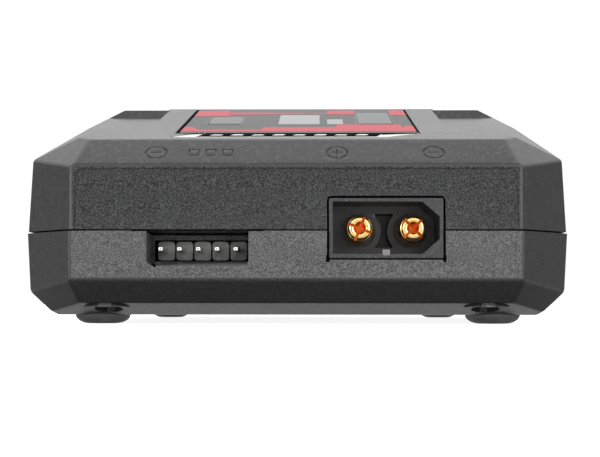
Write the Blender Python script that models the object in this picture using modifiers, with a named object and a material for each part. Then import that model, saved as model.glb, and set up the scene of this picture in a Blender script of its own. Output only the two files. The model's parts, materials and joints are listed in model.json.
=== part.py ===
"""Balance battery charger: a two-shell moulded case with a sloping key panel, a five-way balance
port and a two-pole power socket in front, and a mains inlet at the rear.
+X is right, +Y runs from the front to the rear, +Z is up, and the feet stand on Z = 0.
Sizes are in millimetres and become metres where meshes are made."""

import math

import bmesh
import bpy
from mathutils import Matrix, Vector

MM = 0.001
PART_NAME = "balance_battery_charger"

# Driving sizes of the case
LENGTH, HALF_WIDTH, TOP_Z = 114.0, 37.75, 36.2
FRONT, REAR = -LENGTH / 2, LENGTH / 2
BASE_Z, PARTING_Z, WALL = 1.25, 12.73, 2.2
CORNER = 7.15                      # depth and width of the flats that cut the upright corners
FACE_HALF = HALF_WIDTH - CORNER    # half width of the front and rear faces
LIP, PART_GAP = 0.15, 0.12         # the lower shell stands proud of the upper; half the joint line
UPPER_SIDE, LOWER_SIDE = (37.1, 22.9), (37.25, 4.5)   # top of the upper side wall, foot of the lower
TOP_HALF = (30.75, 29.8)           # half width of the top at the panel's front and at its ridge
EDGE_SOFTENING, ENGRAVED = 0.35, 0.14
TONGUE_OUT, TONGUE_IN, TONGUE_TOP = 1.2, 1.9, 14.1
CENTRE = Vector((0.0, 0.0, 15.0))  # any point well inside the case, which plane normals face away from
BIG = 200.0
MEETING = 0.25                     # corners of the case nearer than this become one

# Sloping panel: its front edge, the ridge where it meets the flat top, and its tilt
PANEL_T, PANEL_Z, RIDGE_T = 5.65, 25.7, 47.2
PANEL_TILT = math.atan2(TOP_Z - PANEL_Z, RIDGE_T - PANEL_T)
LABEL_T = (12.4, 44.8)
SCOOP_X = 22.2                     # the scoops and the lowered sides of the top start here
LABEL_HALF, STRIP_T, STRIP_HALF = 17.55, (7.75, 12.0), 17.8
FILM, FILM_PROUD, POCKET, FIT = 0.4, 0.05, 0.5, 0.2
# Openings through the panel: x from, x to, depth from, depth to
CURRENT_KEY = (-14.0, -8.8, 23.6, 33.1)
TYPE_KEY = (9.1, 14.5, 23.6, 39.2)
STATUS_WINDOW = (-2.9, 3.0, 23.6, 36.4)
SIDE_WINDOW = (4.6, 6.6, 23.6, 30.0)
KEY_PROUD, KEY_FLANGE, FLANGE_TOP, FLANGE_THICK = 0.15, 0.8, -2.5, 0.8
KEY_FOOT, SWITCH_TOP = -3.9, -4.6
PANEL_BOARD_TOP, BOARD = -8.0, 1.6

# Balance port and its five-way header
PORT_X, PORT_Z, PORT_DEPTH, PORT_FLOOR = (-20.12, -6.35), (7.71, 12.77), 7.5, 8.5
PITCH, WAYS, HEADER_MID_X, PIN_Z = 2.54, 5, -13.2, 10.2
BLOCK, BLOCK_DEPTH, PIN_SIDE, PIN_TIP_T = 2.65, 2.6, 0.64, 1.0

# Two-pole power socket
SOCKET_X, SOCKET_Z, SOCKET_DEPTH, SOCKET_T = (4.42, 19.90), (8.87, 17.09), 16.0, 0.4
CAVITY_X, CAVITY_Z, CAVITY_FLOOR_T = (4.98, 19.34), (9.54, 16.55), 8.5
CONTACT_X, CONTACT_Z = (8.65, 15.85), 13.0

# Mains inlet
INLET_HALF, INLET_Z, INLET_DEPTH, INLET_MID_Z = 11.3, (8.9, 22.1), 20.0, 15.5
INLET_PIN_X, INLET_PIN_R, INLET_HOLLOW, INLET_LOBE = 4.3, 1.2, 12.5, 4.4

# Fixings, feet and boards
SCREW_X, SCREW_T, SCREW_HOLE_R, SCREW_SEAT_Z = 26.2, 7.0, 2.02, 6.2
FOOT_X, FOOT_T, FOOT_R, FOOT_SEAT = 28.1, 14.0, 3.95, 0.5
BOARD_X, BOARD_Y, BOARD_Z = 33.0, 46.0, (6.9, 8.5)
BOARD_SCREWS = ((-29.0, -32.0), (29.0, 32.0))
PANEL_SCREW_X, PANEL_SCREW_V = 18.2, 20.0
STAND = 0.25                       # air between neighbouring pieces

PLASTIC, PLASTIC_GLOSS = (0.045, 0.045, 0.047, 1), (0.02, 0.02, 0.022, 1)
FINISHES = {
    "case": (PLASTIC, 0.5, 0.0), "overlay": ((0.55, 0.03, 0.05, 1), 0.35, 0.0),
    "nameplate": ((0.8, 0.8, 0.8, 1), 0.35, 0.0), "key": ((0.5, 0.5, 0.5, 1), 0.45, 0.0),
    "window": ((0.75, 0.77, 0.76, 1), 0.2, 0.0), "socket_plastic": (PLASTIC_GLOSS, 0.35, 0.0),
    "gold": ((0.9, 0.62, 0.22, 1), 0.25, 1.0), "tin": ((0.75, 0.75, 0.74, 1), 0.3, 1.0),
    "steel": ((0.45, 0.45, 0.46, 1), 0.35, 1.0), "rubber": ((0.03, 0.03, 0.03, 1), 0.8, 0.0),
    "board": ((0.03, 0.2, 0.08, 1), 0.45, 0.0), "black_part": ((0.03, 0.03, 0.03, 1), 0.4, 0.0),
    "ferrite": ((0.1, 0.1, 0.11, 1), 0.6, 0.0), "winding": ((0.75, 0.6, 0.1, 1), 0.4, 0.0),
    "can": ((0.05, 0.07, 0.2, 1), 0.35, 0.0), "aluminium": ((0.7, 0.7, 0.72, 1), 0.4, 1.0),
    "led": ((0.85, 0.85, 0.8, 1), 0.2, 0.0), "fuse_glass": ((0.7, 0.72, 0.7, 1), 0.15, 0.0),
}


def reset_scene():
    for obj in list(bpy.data.objects):
        bpy.data.objects.remove(obj, do_unlink=True)


def make_collection(name):
    found = bpy.data.collections.new(name)
    bpy.context.scene.collection.children.link(found)
    return found


def finish(slot):
    """The material of one slot, made once."""
    if slot in bpy.data.materials:
        return bpy.data.materials[slot]
    color, roughness, metallic = FINISHES[slot]
    mat = bpy.data.materials.new(slot)
    mat.use_nodes = True
    shader = mat.node_tree.nodes["Principled BSDF"]
    shader.inputs["Base Color"].default_value = color
    shader.inputs["Roughness"].default_value = roughness
    shader.inputs["Metallic"].default_value = metallic
    return mat


def place(name, bm, slot=None, parent=None):
    """Turns a bmesh in millimetres into a part, or into a cutter where no slot is given."""
    bm.transform(Matrix.Scale(MM, 4))
    bm.normal_update()
    bmesh.ops.recalc_face_normals(bm, faces=bm.faces)
    mesh = bpy.data.meshes.new(name)
    bm.to_mesh(mesh)
    bm.free()
    obj = bpy.data.objects.new(name, mesh)
    obj.parent = parent
    if slot:
        PARTS.objects.link(obj)
        mesh.materials.append(finish(slot))
        mesh.shade_smooth()
        mesh.set_sharp_from_angle(angle=math.radians(35))
    else:
        CUTTERS.objects.link(obj)
        obj.hide_render = True
        obj.display_type = "WIRE"
    return obj


def combine(obj, tool, operation="DIFFERENCE"):
    step = obj.modifiers.new(tool.name, "BOOLEAN")
    step.operation = operation
    step.solver = "EXACT"
    step.object = tool


def box(low, high, soften=0.0):
    """A block between two corners, its edges softened where asked."""
    bm = bmesh.new()
    bmesh.ops.create_cube(bm, size=1.0)
    size = [b - a for a, b in zip(low, high)]
    middle = [(a + b) / 2 for a, b in zip(low, high)]
    bm.transform(Matrix.Translation(middle) @ Matrix.Diagonal((*size, 1.0)))
    if soften:
        bmesh.ops.bevel(bm, geom=bm.edges, offset=soften, segments=2, affect="EDGES", profile=0.5)
    return bm


def along(axis):
    """The turn that lays a shape made along +Z along another axis."""
    return Vector((0, 0, 1)).rotation_difference(Vector(axis)).to_matrix().to_4x4()


def rod(start, axis, length, radius, top_radius=None, sides=24):
    """A round bar or cone from its start point along an axis."""
    bm = bmesh.new()
    bmesh.ops.create_cone(bm, cap_ends=True, segments=sides, radius1=radius,
                          radius2=radius if top_radius is None else top_radius, depth=length)
    bm.transform(Matrix.Translation(start) @ along(axis) @ Matrix.Translation((0, 0, length / 2)))
    return bm


def turned(name, profile, slot, at, axis=(0, 0, 1), steps=24):
    """A closed profile of (radius, height), outer side top to bottom, turned on an axis."""
    bm = bmesh.new()
    points = [bm.verts.new((r * MM, 0, h * MM)) for r, h in profile]
    for a, b in zip(points, points[1:]):
        bm.edges.new((a, b))
    mesh = bpy.data.meshes.new(name)
    bm.to_mesh(mesh)
    bm.free()
    obj = bpy.data.objects.new(name, mesh)
    PARTS.objects.link(obj)
    mesh.materials.append(finish(slot))
    spin = obj.modifiers.new("turn", "SCREW")
    spin.steps = spin.render_steps = steps
    spin.use_merge_vertices = True
    spin.merge_threshold = 0.000001
    obj.matrix_world = Matrix.Translation(Vector(at) * MM) @ along(axis)
    return obj


def convex(planes, inset=0.0, soften=0.0):
    """The solid inside a list of (point, outward normal) planes, each moved in by the inset."""
    bm = bmesh.new()
    bmesh.ops.create_cube(bm, size=BIG)
    for point, normal in planes:
        everything = bm.verts[:] + bm.edges[:] + bm.faces[:]
        bmesh.ops.bisect_plane(bm, geom=everything, dist=1e-5, plane_co=point - normal * inset,
                               plane_no=normal, clear_outer=True)
        rim = [e for e in bm.edges if e.is_boundary]
        bmesh.ops.holes_fill(bm, edges=rim)
    bmesh.ops.remove_doubles(bm, verts=bm.verts, dist=MEETING)
    bmesh.ops.dissolve_limit(bm, angle_limit=0.002, verts=bm.verts, edges=bm.edges)
    if soften:
        bmesh.ops.bevel(bm, geom=bm.edges, offset=soften, segments=2, affect="EDGES", profile=0.5,
                        clamp_overlap=True)
    return bm


def facing_out(a, b, c):
    """The plane through three points, whose normal points away from the middle of the case."""
    a, b, c = Vector(a), Vector(b), Vector(c)
    normal = (b - a).cross(c - a).normalized()
    return (a, normal) if (a - CENTRE).dot(normal) > 0 else (a, -normal)


def across(t, z):
    """Two points on a line that runs straight across the case, at a depth and a height."""
    return (0, t, z), (10, t, z)


def both_sides(*points):
    left = [(-x, y, z) for x, y, z in points]
    return [facing_out(*points), facing_out(*left)]


def end_planes(end, inward, upper, lip):
    """The planes at one end of one shell: its face and its two upright corner flats."""
    face_half, half = FACE_HALF - lip, HALF_WIDTH - lip
    lean = 0.66 if upper else 0.42
    corner_x, lean_z = UPPER_SIDE if upper else LOWER_SIDE
    start = end + inward * lip
    turn_in = end + inward * CORNER
    face = facing_out(*across(start, PARTING_Z), (0, start + inward * lean, lean_z))
    flats = both_sides((face_half, start, PARTING_Z), (half, turn_in, PARTING_Z),
                       (corner_x, turn_in, lean_z))
    return [face] + flats


def upper_planes():
    """The outer faces of the upper shell."""
    f, r, half = FRONT, REAR, HALF_WIDTH - LIP
    planes = end_planes(f, 1, True, LIP) + end_planes(r, -1, True, LIP)
    side_x, side_z = UPPER_SIDE
    shoulder = (side_x, f + CORNER, side_z)
    planes += both_sides((half, f + CORNER, PARTING_Z), (half, 0, PARTING_Z), shoulder)
    planes.append(facing_out(*across(f + 0.6, 21.6), (0, f + PANEL_T, PANEL_Z)))
    planes += both_sides((30.3, f + 0.75, 21.6), shoulder, (28.8, f + PANEL_T, PANEL_Z))
    planes += both_sides(shoulder, (TOP_HALF[0], f + 7.9, 26.27), (TOP_HALF[1], f + RIDGE_T, TOP_Z))
    planes.append(facing_out(*across(f + PANEL_T, PANEL_Z), (0, f + RIDGE_T, TOP_Z)))
    planes.append(facing_out(*across(0, TOP_Z), (0, 20, TOP_Z)))
    planes += both_sides((TOP_HALF[1], f + RIDGE_T, TOP_Z), (TOP_HALF[1], 40, TOP_Z), (36.6, 40, 32.6))
    planes.append(facing_out(*across(r - 6.5, TOP_Z), (0, r - 1.4, 31.6)))
    planes += both_sides((27.8, r - 6.5, TOP_Z), (29.6, r - 1.4, 31.6), (35.9, r - CORNER, 32.4))
    return planes


def lower_planes():
    """The outer faces of the lower shell."""
    planes = end_planes(FRONT, 1, False, 0.0) + end_planes(REAR, -1, False, 0.0)
    side_x, side_z = LOWER_SIDE
    planes += both_sides((HALF_WIDTH, FRONT + CORNER, PARTING_Z), (HALF_WIDTH, 0, PARTING_Z),
                         (side_x, FRONT + CORNER, side_z))
    for end, inward in ((FRONT, 1), (REAR, -1)):
        t = [end + inward * depth for depth in (0.35, 3.4, CORNER, 10.6)]
        planes.append(facing_out(*across(t[0], 6.0), (0, t[1], 2.95)))
        planes += both_sides((30.6, t[0], 6.0), (side_x, t[2], side_z), (29.65, t[1], 2.95))
        planes.append(facing_out(*across(t[1], 2.95), (0, t[3], BASE_Z)))
    planes += both_sides((side_x, FRONT + CORNER, side_z), (side_x, 0, side_z), (34.1, 0, BASE_Z))
    planes.append(facing_out(*across(0, BASE_Z), (0, 20, BASE_Z)))
    return planes


def above(z):
    return (Vector((0, 0, z)), Vector((0, 0, -1)))


def below(z):
    return (Vector((0, 0, z)), Vector((0, 0, 1)))


def trim(bm, point, normal):
    """Cuts a solid by a plane, keeps the side that the normal points away from, and closes it."""
    everything = bm.verts[:] + bm.edges[:] + bm.faces[:]
    bmesh.ops.bisect_plane(bm, geom=everything, dist=1e-5, plane_co=point, plane_no=normal,
                           clear_outer=True)
    bmesh.ops.holes_fill(bm, edges=[e for e in bm.edges if e.is_boundary])
    return bm


def panel_point(x, t, drop=0.0):
    """A point on the sloping panel at a depth behind the front face, or that far below it."""
    up = Vector((0, -math.sin(PANEL_TILT), math.cos(PANEL_TILT)))
    z = PANEL_Z + (t - PANEL_T) * math.tan(PANEL_TILT)
    return Vector((x, FRONT + t, z)) - up * drop


def panel_v(t):
    """How far up the slope a depth behind the front face lies."""
    return (t - PANEL_T) / math.cos(PANEL_TILT)


def panel_frame():
    """An empty on the panel's front edge: its X runs across, its Y up the slope, its Z outwards."""
    empty = bpy.data.objects.new("panel_frame", None)
    PARTS.objects.link(empty)
    empty.location = Vector((0, FRONT + PANEL_T, PANEL_Z)) * MM
    empty.rotation_euler = (PANEL_TILT, 0, 0)
    return empty


def panel_box(name, spot, w_from, w_to, slot=None, grow=0.0, soften=0.0):
    """A block over a panel spot (x, x, depth, depth), between two heights off the panel."""
    low = (spot[0] - grow, panel_v(spot[2]) - grow, w_from)
    high = (spot[1] + grow, panel_v(spot[3]) + grow, w_to)
    return place(name, box(low, high, soften), slot, PANEL)


def label_spot():
    return (-LABEL_HALF, LABEL_HALF, *LABEL_T)


def strip_outline(name, grow, w_from, w_to, slot=None):
    """The nameplate's long flat shape: its left end points down the slope, its right end up it."""
    v0, v1 = panel_v(STRIP_T[0]), panel_v(STRIP_T[1])
    bm = box((-STRIP_HALF, v0 - grow, w_from), (STRIP_HALF, v1 + grow, w_to))
    for x, v, lean in ((-STRIP_HALF + 0.6, v0 + 0.6, (-0.78, 0.62)), (STRIP_HALF, v1, (0.66, -0.75))):
        normal = Vector((*lean, 0)).normalized()
        trim(bm, Vector((x, v, 0)) + normal * grow, normal)
    return place(name, bm, slot, PANEL)


def side_channel(side):
    """The shallow ramp beside the raised panel; it deepens up the slope and ends in a steep wall."""
    ramp_t, wall_t, fall = 16.0, 46.2, 0.045
    low, high = panel_v(ramp_t), panel_v(wall_t)
    bm = box((SCOOP_X, low, -3.0), (36.0, high, 3.0))
    deep = (high - low) * fall
    trim(bm, Vector((0, low, 0)), Vector((0, -deep, -(high - low))).normalized())
    trim(bm, Vector((SCOOP_X, 0, 0)), Vector((-1, 0, -0.55)).normalized())
    trim(bm, Vector((0, high, 0)), Vector((0, 1, -0.9)).normalized())
    if side < 0:
        bm.transform(Matrix.Scale(-1, 4, (1, 0, 0)))
    return place(f"cut_channel_{side}", bm, None, PANEL)


def top_step(side):
    """Lowers the flat top beside its raised middle."""
    bm = box((SCOOP_X, FRONT + 30, TOP_Z - 0.4), (45, REAR + 5, TOP_Z + 3))
    trim(bm, Vector((SCOOP_X, 0, TOP_Z)), Vector((-1, 0, -0.9)).normalized())
    if side < 0:
        bm.transform(Matrix.Scale(-1, 4, (1, 0, 0)))
    return place(f"cut_top_step_{side}", bm)


def ring_groove(name, x, t, parent, marks):
    """Cutters for an engraved ring with strokes in it, on the front chamfer."""
    outer, inner, deep = 1.55, 1.28, ENGRAVED
    bm = rod((x, t, -deep), (0, 0, 1), 1.0, outer, sides=32)
    core = rod((x, t, -1.0), (0, 0, 1), 3.0, inner, sides=32)
    groove = place(name, bm, None, parent)
    combine(groove, place(name + "_core", core, None, parent))
    cutters = [groove]
    for number, (half_x, half_y) in enumerate(marks):
        stroke = box((x - half_x, t - half_y, -deep), (x + half_x, t + half_y, 1.0))
        cutters.append(place(f"{name}_stroke_{number}", stroke, None, parent))
    return cutters


def chamfer_frame():
    """An empty on the front chamfer: its Y runs up the chamfer and its Z points out of it."""
    empty = bpy.data.objects.new("chamfer_frame", None)
    PARTS.objects.link(empty)
    tilt = math.atan2(PANEL_Z - 21.6, PANEL_T - 0.6)
    empty.location = Vector((0, FRONT + 0.6, 21.6)) * MM
    empty.rotation_euler = (tilt, 0, 0)
    return empty


def engraved_signs(upper):
    """Minus, plus and minus signs over the two front connectors, and a cell sign over the port."""
    parent = chamfer_frame()
    up = 3.1
    bar, post = (0.72, 0.13), (0.13, 0.72)
    signs = [(-19.2, (bar,)), (5.6, (bar, post)), (18.8, (bar,))]
    for number, (x, marks) in enumerate(signs):
        if len(marks) == 2:
            arm = (0.24, 0.13)
            marks = (post,)
            for side in (-1, 1):
                middle = x + side * 0.5
                stub = box((middle - arm[0], up - arm[1], -ENGRAVED), (middle + arm[0], up + arm[1], 1.0))
                combine(upper, place(f"cut_sign_arm_{number}_{side}", stub, None, parent))
        for cutter in ring_groove(f"cut_sign_{number}", x, up, parent, marks):
            combine(upper, cutter)
    for cell in range(3):
        x = -14.0 + cell * 2.3
        body = box((x - 0.8, up - 0.85, -ENGRAVED), (x + 0.8, up + 0.85, 1.0))
        core = box((x - 0.52, up - 0.57, -1.0), (x + 0.52, up + 0.57, 2.0))
        cutter = place(f"cut_cell_{cell}", body, None, parent)
        combine(cutter, place(f"cut_cell_core_{cell}", core, None, parent))
        combine(upper, cutter)


def open_shell(name, planes, parting, overshoot):
    """One shell: a softened outer solid, trimmed at the joint line and hollowed by the wall."""
    outer = convex(planes + [overshoot], soften=EDGE_SOFTENING)
    trim(outer, *parting)
    shell = place(name, outer, "case")
    hollow = convex(planes + [overshoot], inset=WALL)
    combine(shell, place(f"cut_{name}_hollow", hollow))
    return shell


def screw_spots():
    for x in (-SCREW_X, SCREW_X):
        for y in (FRONT + SCREW_T, REAR - SCREW_T):
            yield x, y


def port_cutters():
    """The balance port: a straight hole with one cut corner, and a lead-in ramp on its sill."""
    x0, x1 = PORT_X
    hole = box((x0, FRONT - 1, PORT_FLOOR), (x1, FRONT + PORT_DEPTH, 16.0))
    ramp = box((x0 + 0.12, FRONT - 1, PORT_Z[0] - 0.3), (x1 - 0.12, FRONT + 1.4, PORT_FLOOR + 0.6))
    trim(ramp, Vector((0, FRONT, PORT_Z[0])), Vector((0, 0.8, -1)).normalized())
    trim(ramp, Vector((x0 + 1.1, 0, PORT_Z[0])), Vector((-0.87, 0, -1.1)).normalized())
    through = box((PORT_X[0] + 0.2, FRONT + PORT_DEPTH - 1, 8.62), (PORT_X[1] - 0.15, FRONT + 12, 11.7))
    relief = box((x0 - 2.1, FRONT - 1, PARTING_Z - PART_GAP - 0.05), (x1 + 2.1, FRONT + 12, 17.0))
    key = box((-0.72, -1, -0.18), (0.72, 3.0, 0.18))
    key.transform(Matrix.Translation((x0 + 0.68, FRONT, 8.2)) @ Matrix.Rotation(math.radians(33), 4, "Y"))
    shapes = {"cut_port": hole, "cut_port_ramp": ramp, "cut_port_through": through,
              "cut_port_relief": relief, "cut_port_key": key}
    return [place(name, bm) for name, bm in shapes.items()]


def socket_cutter(name):
    """The socket's window in both shells, with its two upper corners rounded."""
    (x0, x1), (z0, z1) = SOCKET_X, SOCKET_Z
    side, under, over, round_off = 0.24, 0.15, 0.28, 0.6
    bm = box((x0 - side, FRONT - 2, z0 - under), (x1 + side, FRONT + 6, z1 + over))
    upper = [e for e in bm.edges if all(v.co.z > z1 for v in e.verts)
             and abs(e.verts[0].co.y - e.verts[1].co.y) > 1]
    bmesh.ops.bevel(bm, geom=upper, offset=round_off, segments=3, affect="EDGES", profile=0.5)
    return place(name, bm)


def socket_notches():
    """The two small reliefs under the socket's lower corners."""
    (x0, x1), z0 = SOCKET_X, SOCKET_Z[0]
    for number, x in enumerate((x0 - 0.1, x1 + 0.1)):
        bm = box((x - 0.24, FRONT - 2, z0 - 0.45), (x + 0.24, FRONT + 3, z0 + 0.5))
        yield place(f"cut_socket_notch_{number}", bm)


def inlet_cutter(name):
    grow = 0.3
    bm = box((-INLET_HALF - grow, REAR - 6, INLET_Z[0] - grow),
             (INLET_HALF + grow, REAR + 2, INLET_Z[1] + grow))
    return place(name, bm)


def vent_cutters(prefix, side):
    """Upright slots through one side wall, towards the rear."""
    first, step, count, half = 2.0, 4.2, 8, 0.8
    for number in range(count):
        y = first + step * number
        bm = box((side * 37 - 4, y - half, 5.8), (side * 37 + 4, y + half, 11.2))
        yield place(f"{prefix}_{side}_{number}", bm)


def lower_case():
    overshoot = below(PARTING_Z + 4)
    shell = open_shell("lower_case", lower_planes(), below(PARTING_Z - PART_GAP), overshoot)
    ring = convex(inset_sides(TONGUE_OUT) + [below(TONGUE_TOP), above(PARTING_Z - 2)])
    ring_part = place("add_tongue", ring)
    core = convex(inset_sides(TONGUE_IN) + [below(TONGUE_TOP + 2), above(PARTING_Z - 4)])
    combine(ring_part, place("cut_tongue_core", core))
    combine(shell, ring_part, "UNION")
    surround = box((PORT_X[0] - 1.5, FRONT + 1.0, 6.2),
                   (PORT_X[1] + 1.5, FRONT + PORT_DEPTH + 1.0, PARTING_Z - PART_GAP - 0.2))
    combine(shell, place("add_port_surround", surround), "UNION")
    for number, (x, y) in enumerate(screw_spots()):
        post = rod((x, y, 2.4), (0, 0, 1), 8.0, 3.5)
        combine(shell, place(f"add_boss_{number}", post), "UNION")
    for number, (x, y) in enumerate(BOARD_SCREWS):
        post = rod((x, y, 2.4), (0, 0, 1), BOARD_Z[0] - STAND - 2.4, 2.6)
        combine(shell, place(f"add_board_post_{number}", post), "UNION")
    for number, (x, y) in enumerate(screw_spots()):
        head = rod((x, y, -2), (0, 0, 1), SCREW_SEAT_Z + 2, SCREW_HOLE_R)
        shank = rod((x, y, 2), (0, 0, 1), 14, 1.45)
        combine(shell, place(f"cut_screw_head_{number}", head))
        combine(shell, place(f"cut_screw_shank_{number}", shank))
    for number, (x, y) in enumerate(BOARD_SCREWS):
        combine(shell, place(f"cut_board_post_{number}", rod((x, y, 3.9), (0, 0, 1), 9, 1.0)))
    for number, (x, y) in enumerate(foot_spots()):
        seat = rod((x, y, -2), (0, 0, 1), BASE_Z + FOOT_SEAT + 2, FOOT_R + 0.2, sides=32)
        combine(shell, place(f"cut_foot_{number}", seat))
    for cutter in port_cutters():
        combine(shell, cutter)
    combine(shell, socket_cutter("cut_socket_low"))
    for cutter in socket_notches():
        combine(shell, cutter)
    combine(shell, inlet_cutter("cut_inlet_low"))
    for side in (-1, 1):
        for cutter in vent_cutters("cut_vent", side):
            combine(shell, cutter)
    return shell


def inset_sides(inset):
    """Upright planes inside the joint line, which the tongue and its rebate follow."""
    half, face, t = HALF_WIDTH - LIP, FACE_HALF - LIP, FRONT + LIP
    points = [(face, t), (half, FRONT + CORNER)]
    planes = []
    for end in (1, -1):
        (ax, ay), (bx, by) = points
        planes += both_sides((ax, end * ay, 0), (bx, end * by, 0), (ax, end * ay, 10))
        planes.append(facing_out((0, end * t, 0), (10, end * t, 0), (0, end * t, 10)))
    planes += both_sides((half, 0, 0), (half, 10, 0), (half, 0, 10))
    return [(point - normal * inset, normal) for point, normal in planes]


def upper_case():
    overshoot = above(PARTING_Z - 4)
    shell = open_shell("upper_case", upper_planes(), above(PARTING_Z + PART_GAP), overshoot)
    rebate = convex(inset_sides(TONGUE_OUT - 0.25) + [above(PARTING_Z - 2), below(TONGUE_TOP + 0.3)])
    combine(shell, place("cut_rebate", rebate))
    roof = box((PORT_X[0] - 1.6, FRONT + 1.0, PARTING_Z - PART_GAP + 0.03),
               (PORT_X[1] + 1.6, FRONT + PORT_DEPTH + 1, 14.6))
    combine(shell, place("add_port_roof", roof), "UNION")
    for number, (x, y) in enumerate(screw_spots()):
        ceiling = 24.0 if y < 0 else 32.0
        post = rod((x, y, 10.7), (0, 0, 1), ceiling - 10.7, 3.0)
        combine(shell, place(f"add_top_boss_{number}", post), "UNION")
        combine(shell, place(f"cut_top_boss_{number}", rod((x, y, 9), (0, 0, 1), 9.5, 1.3)))
    for side in (-1, 1):
        post = rod((side * PANEL_SCREW_X, PANEL_SCREW_V, PANEL_BOARD_TOP + STAND), (0, 0, 1), 6.2, 2.1)
        pilot = rod((side * PANEL_SCREW_X, PANEL_SCREW_V, -9), (0, 0, 1), 5.5, 0.95)
        combine(shell, place(f"add_panel_post_{side}", post, None, PANEL), "UNION")
        combine(shell, place(f"cut_panel_post_{side}", pilot, None, PANEL))
        combine(shell, side_channel(side))
        combine(shell, top_step(side))
    combine(shell, panel_box("cut_label_pocket", label_spot(), -POCKET, 2.0, grow=FIT))
    combine(shell, strip_outline("cut_strip_pocket", FIT, -POCKET, 2.0))
    for name, spot in panel_openings():
        combine(shell, panel_box(f"cut_{name}", spot, -5.0, 3.0, grow=FIT))
    combine(shell, face_pocket(FRONT, 1))
    combine(shell, face_pocket(REAR, -1))
    combine(shell, socket_cutter("cut_socket_high"))
    combine(shell, inlet_cutter("cut_inlet_high"))
    engraved_signs(shell)
    return shell


def face_pocket(end, inward):
    """A shallow sunk field on one end face of the upper shell, with its upper corners rounded."""
    half, top, round_off, deep = FACE_HALF - 0.7, 21.1, 1.0, 0.15
    bm = box((-half, -3.0, PARTING_Z - 3), (half, 0.0, top))
    upper = [e for e in bm.edges if all(v.co.z > top - 0.1 for v in e.verts)
             and abs(e.verts[0].co.y - e.verts[1].co.y) > 1]
    bmesh.ops.bevel(bm, geom=upper, offset=round_off, segments=4, affect="EDGES", profile=0.5)
    lean = 0.66 / (UPPER_SIDE[1] - PARTING_Z)
    slant = Matrix.Identity(4)
    slant[1][2] = lean
    at = Matrix.Translation((0, LIP + deep - lean * PARTING_Z, 0)) @ slant
    flip = Matrix.Diagonal((1, inward, 1, 1))
    bm.transform(Matrix.Translation((0, end, 0)) @ flip @ at)
    return place(f"cut_face_pocket_{inward}", bm)


def panel_openings():
    return (("current_key_hole", CURRENT_KEY), ("type_key_hole", TYPE_KEY),
            ("status_window_hole", STATUS_WINDOW), ("side_window_hole", SIDE_WINDOW))


def panel_films():
    """The printed film in the panel's pocket, with its openings, and the nameplate before it."""
    film = panel_box("panel_overlay", label_spot(), FILM_PROUD - FILM, FILM_PROUD, "overlay")
    for name, spot in panel_openings():
        combine(film, panel_box(f"cut_film_{name}", spot, -5.0, 3.0, grow=FIT))
    strip_outline("nameplate", -0.1, FILM_PROUD - FILM, FILM_PROUD, "nameplate")


def panel_insert(name, spot, top, slot):
    """A key or a window: a body through the panel, held from below by a wider flange."""
    body = panel_box(name, spot, FLANGE_TOP - 0.2, top, slot, soften=0.15)
    flange = panel_box(f"add_{name}_flange", spot, FLANGE_TOP - FLANGE_THICK, FLANGE_TOP,
                       grow=KEY_FLANGE)
    combine(body, flange, "UNION")
    return body


def key_parts():
    for number, (name, spot) in enumerate((("current_key", CURRENT_KEY), ("type_key", TYPE_KEY))):
        key = panel_insert(name, spot, KEY_PROUD, "key")
        x = (spot[0] + spot[1]) / 2
        v = (panel_v(spot[2]) + panel_v(spot[3])) / 2
        stem = rod((x, v, KEY_FOOT), (0, 0, 1), FLANGE_TOP - 0.4 - KEY_FOOT, 1.4, sides=16)
        combine(key, place(f"add_{name}_stem", stem, None, PANEL), "UNION")
        tact_switch(number + 1, x, v)


def tact_switch(number, x, v):
    name = f"tact_switch_{number}"
    low, half, shoulder = PANEL_BOARD_TOP + STAND, 3.0, 0.9
    body = place(name, box((x - half, v - half, low), (x + half, v + half, SWITCH_TOP - shoulder), 0.2),
                 "black_part", PANEL)
    plunger = rod((x, v, low + 0.5), (0, 0, 1), SWITCH_TOP - low - 0.5, 1.7, sides=20)
    combine(body, place(f"add_{name}_plunger", plunger, None, PANEL), "UNION")


def panel_windows():
    panel_insert("status_window", STATUS_WINDOW, -0.05, "window")
    panel_insert("side_window", SIDE_WINDOW, -0.05, "window")


def status_leds():
    """Three round lamps under the long window and one under the narrow window."""
    low = PANEL_BOARD_TOP + STAND
    middle = (panel_v(STATUS_WINDOW[2]) + panel_v(STATUS_WINDOW[3])) / 2
    spots = [(0.05, middle + step) for step in (-4.4, 0.0, 4.4)]
    spots.append((5.6, (panel_v(SIDE_WINDOW[2]) + panel_v(SIDE_WINDOW[3])) / 2))
    for number, (x, v) in enumerate(spots, 1):
        bm = rod((x, v, low), (0, 0, 1), 2.6, 1.45, sides=20)
        tip = rod((x, v, low + 2.5), (0, 0, 1), 1.2, 1.4, 0.7, sides=20)
        lamp = place(f"status_led_{number}", bm, "led", PANEL)
        combine(lamp, place(f"add_led_tip_{number}", tip, None, PANEL), "UNION")


def panel_board():
    v0, v1, half = 15.0, 41.0, 21.5
    board = place("panel_board", box((-half, v0, PANEL_BOARD_TOP - BOARD), (half, v1, PANEL_BOARD_TOP)),
                  "board", PANEL)
    for side in (-1, 1):
        hole = rod((side * PANEL_SCREW_X, PANEL_SCREW_V, -12), (0, 0, 1), 8, 1.3)
        combine(board, place(f"cut_panel_board_{side}", hole, None, PANEL))


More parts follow.
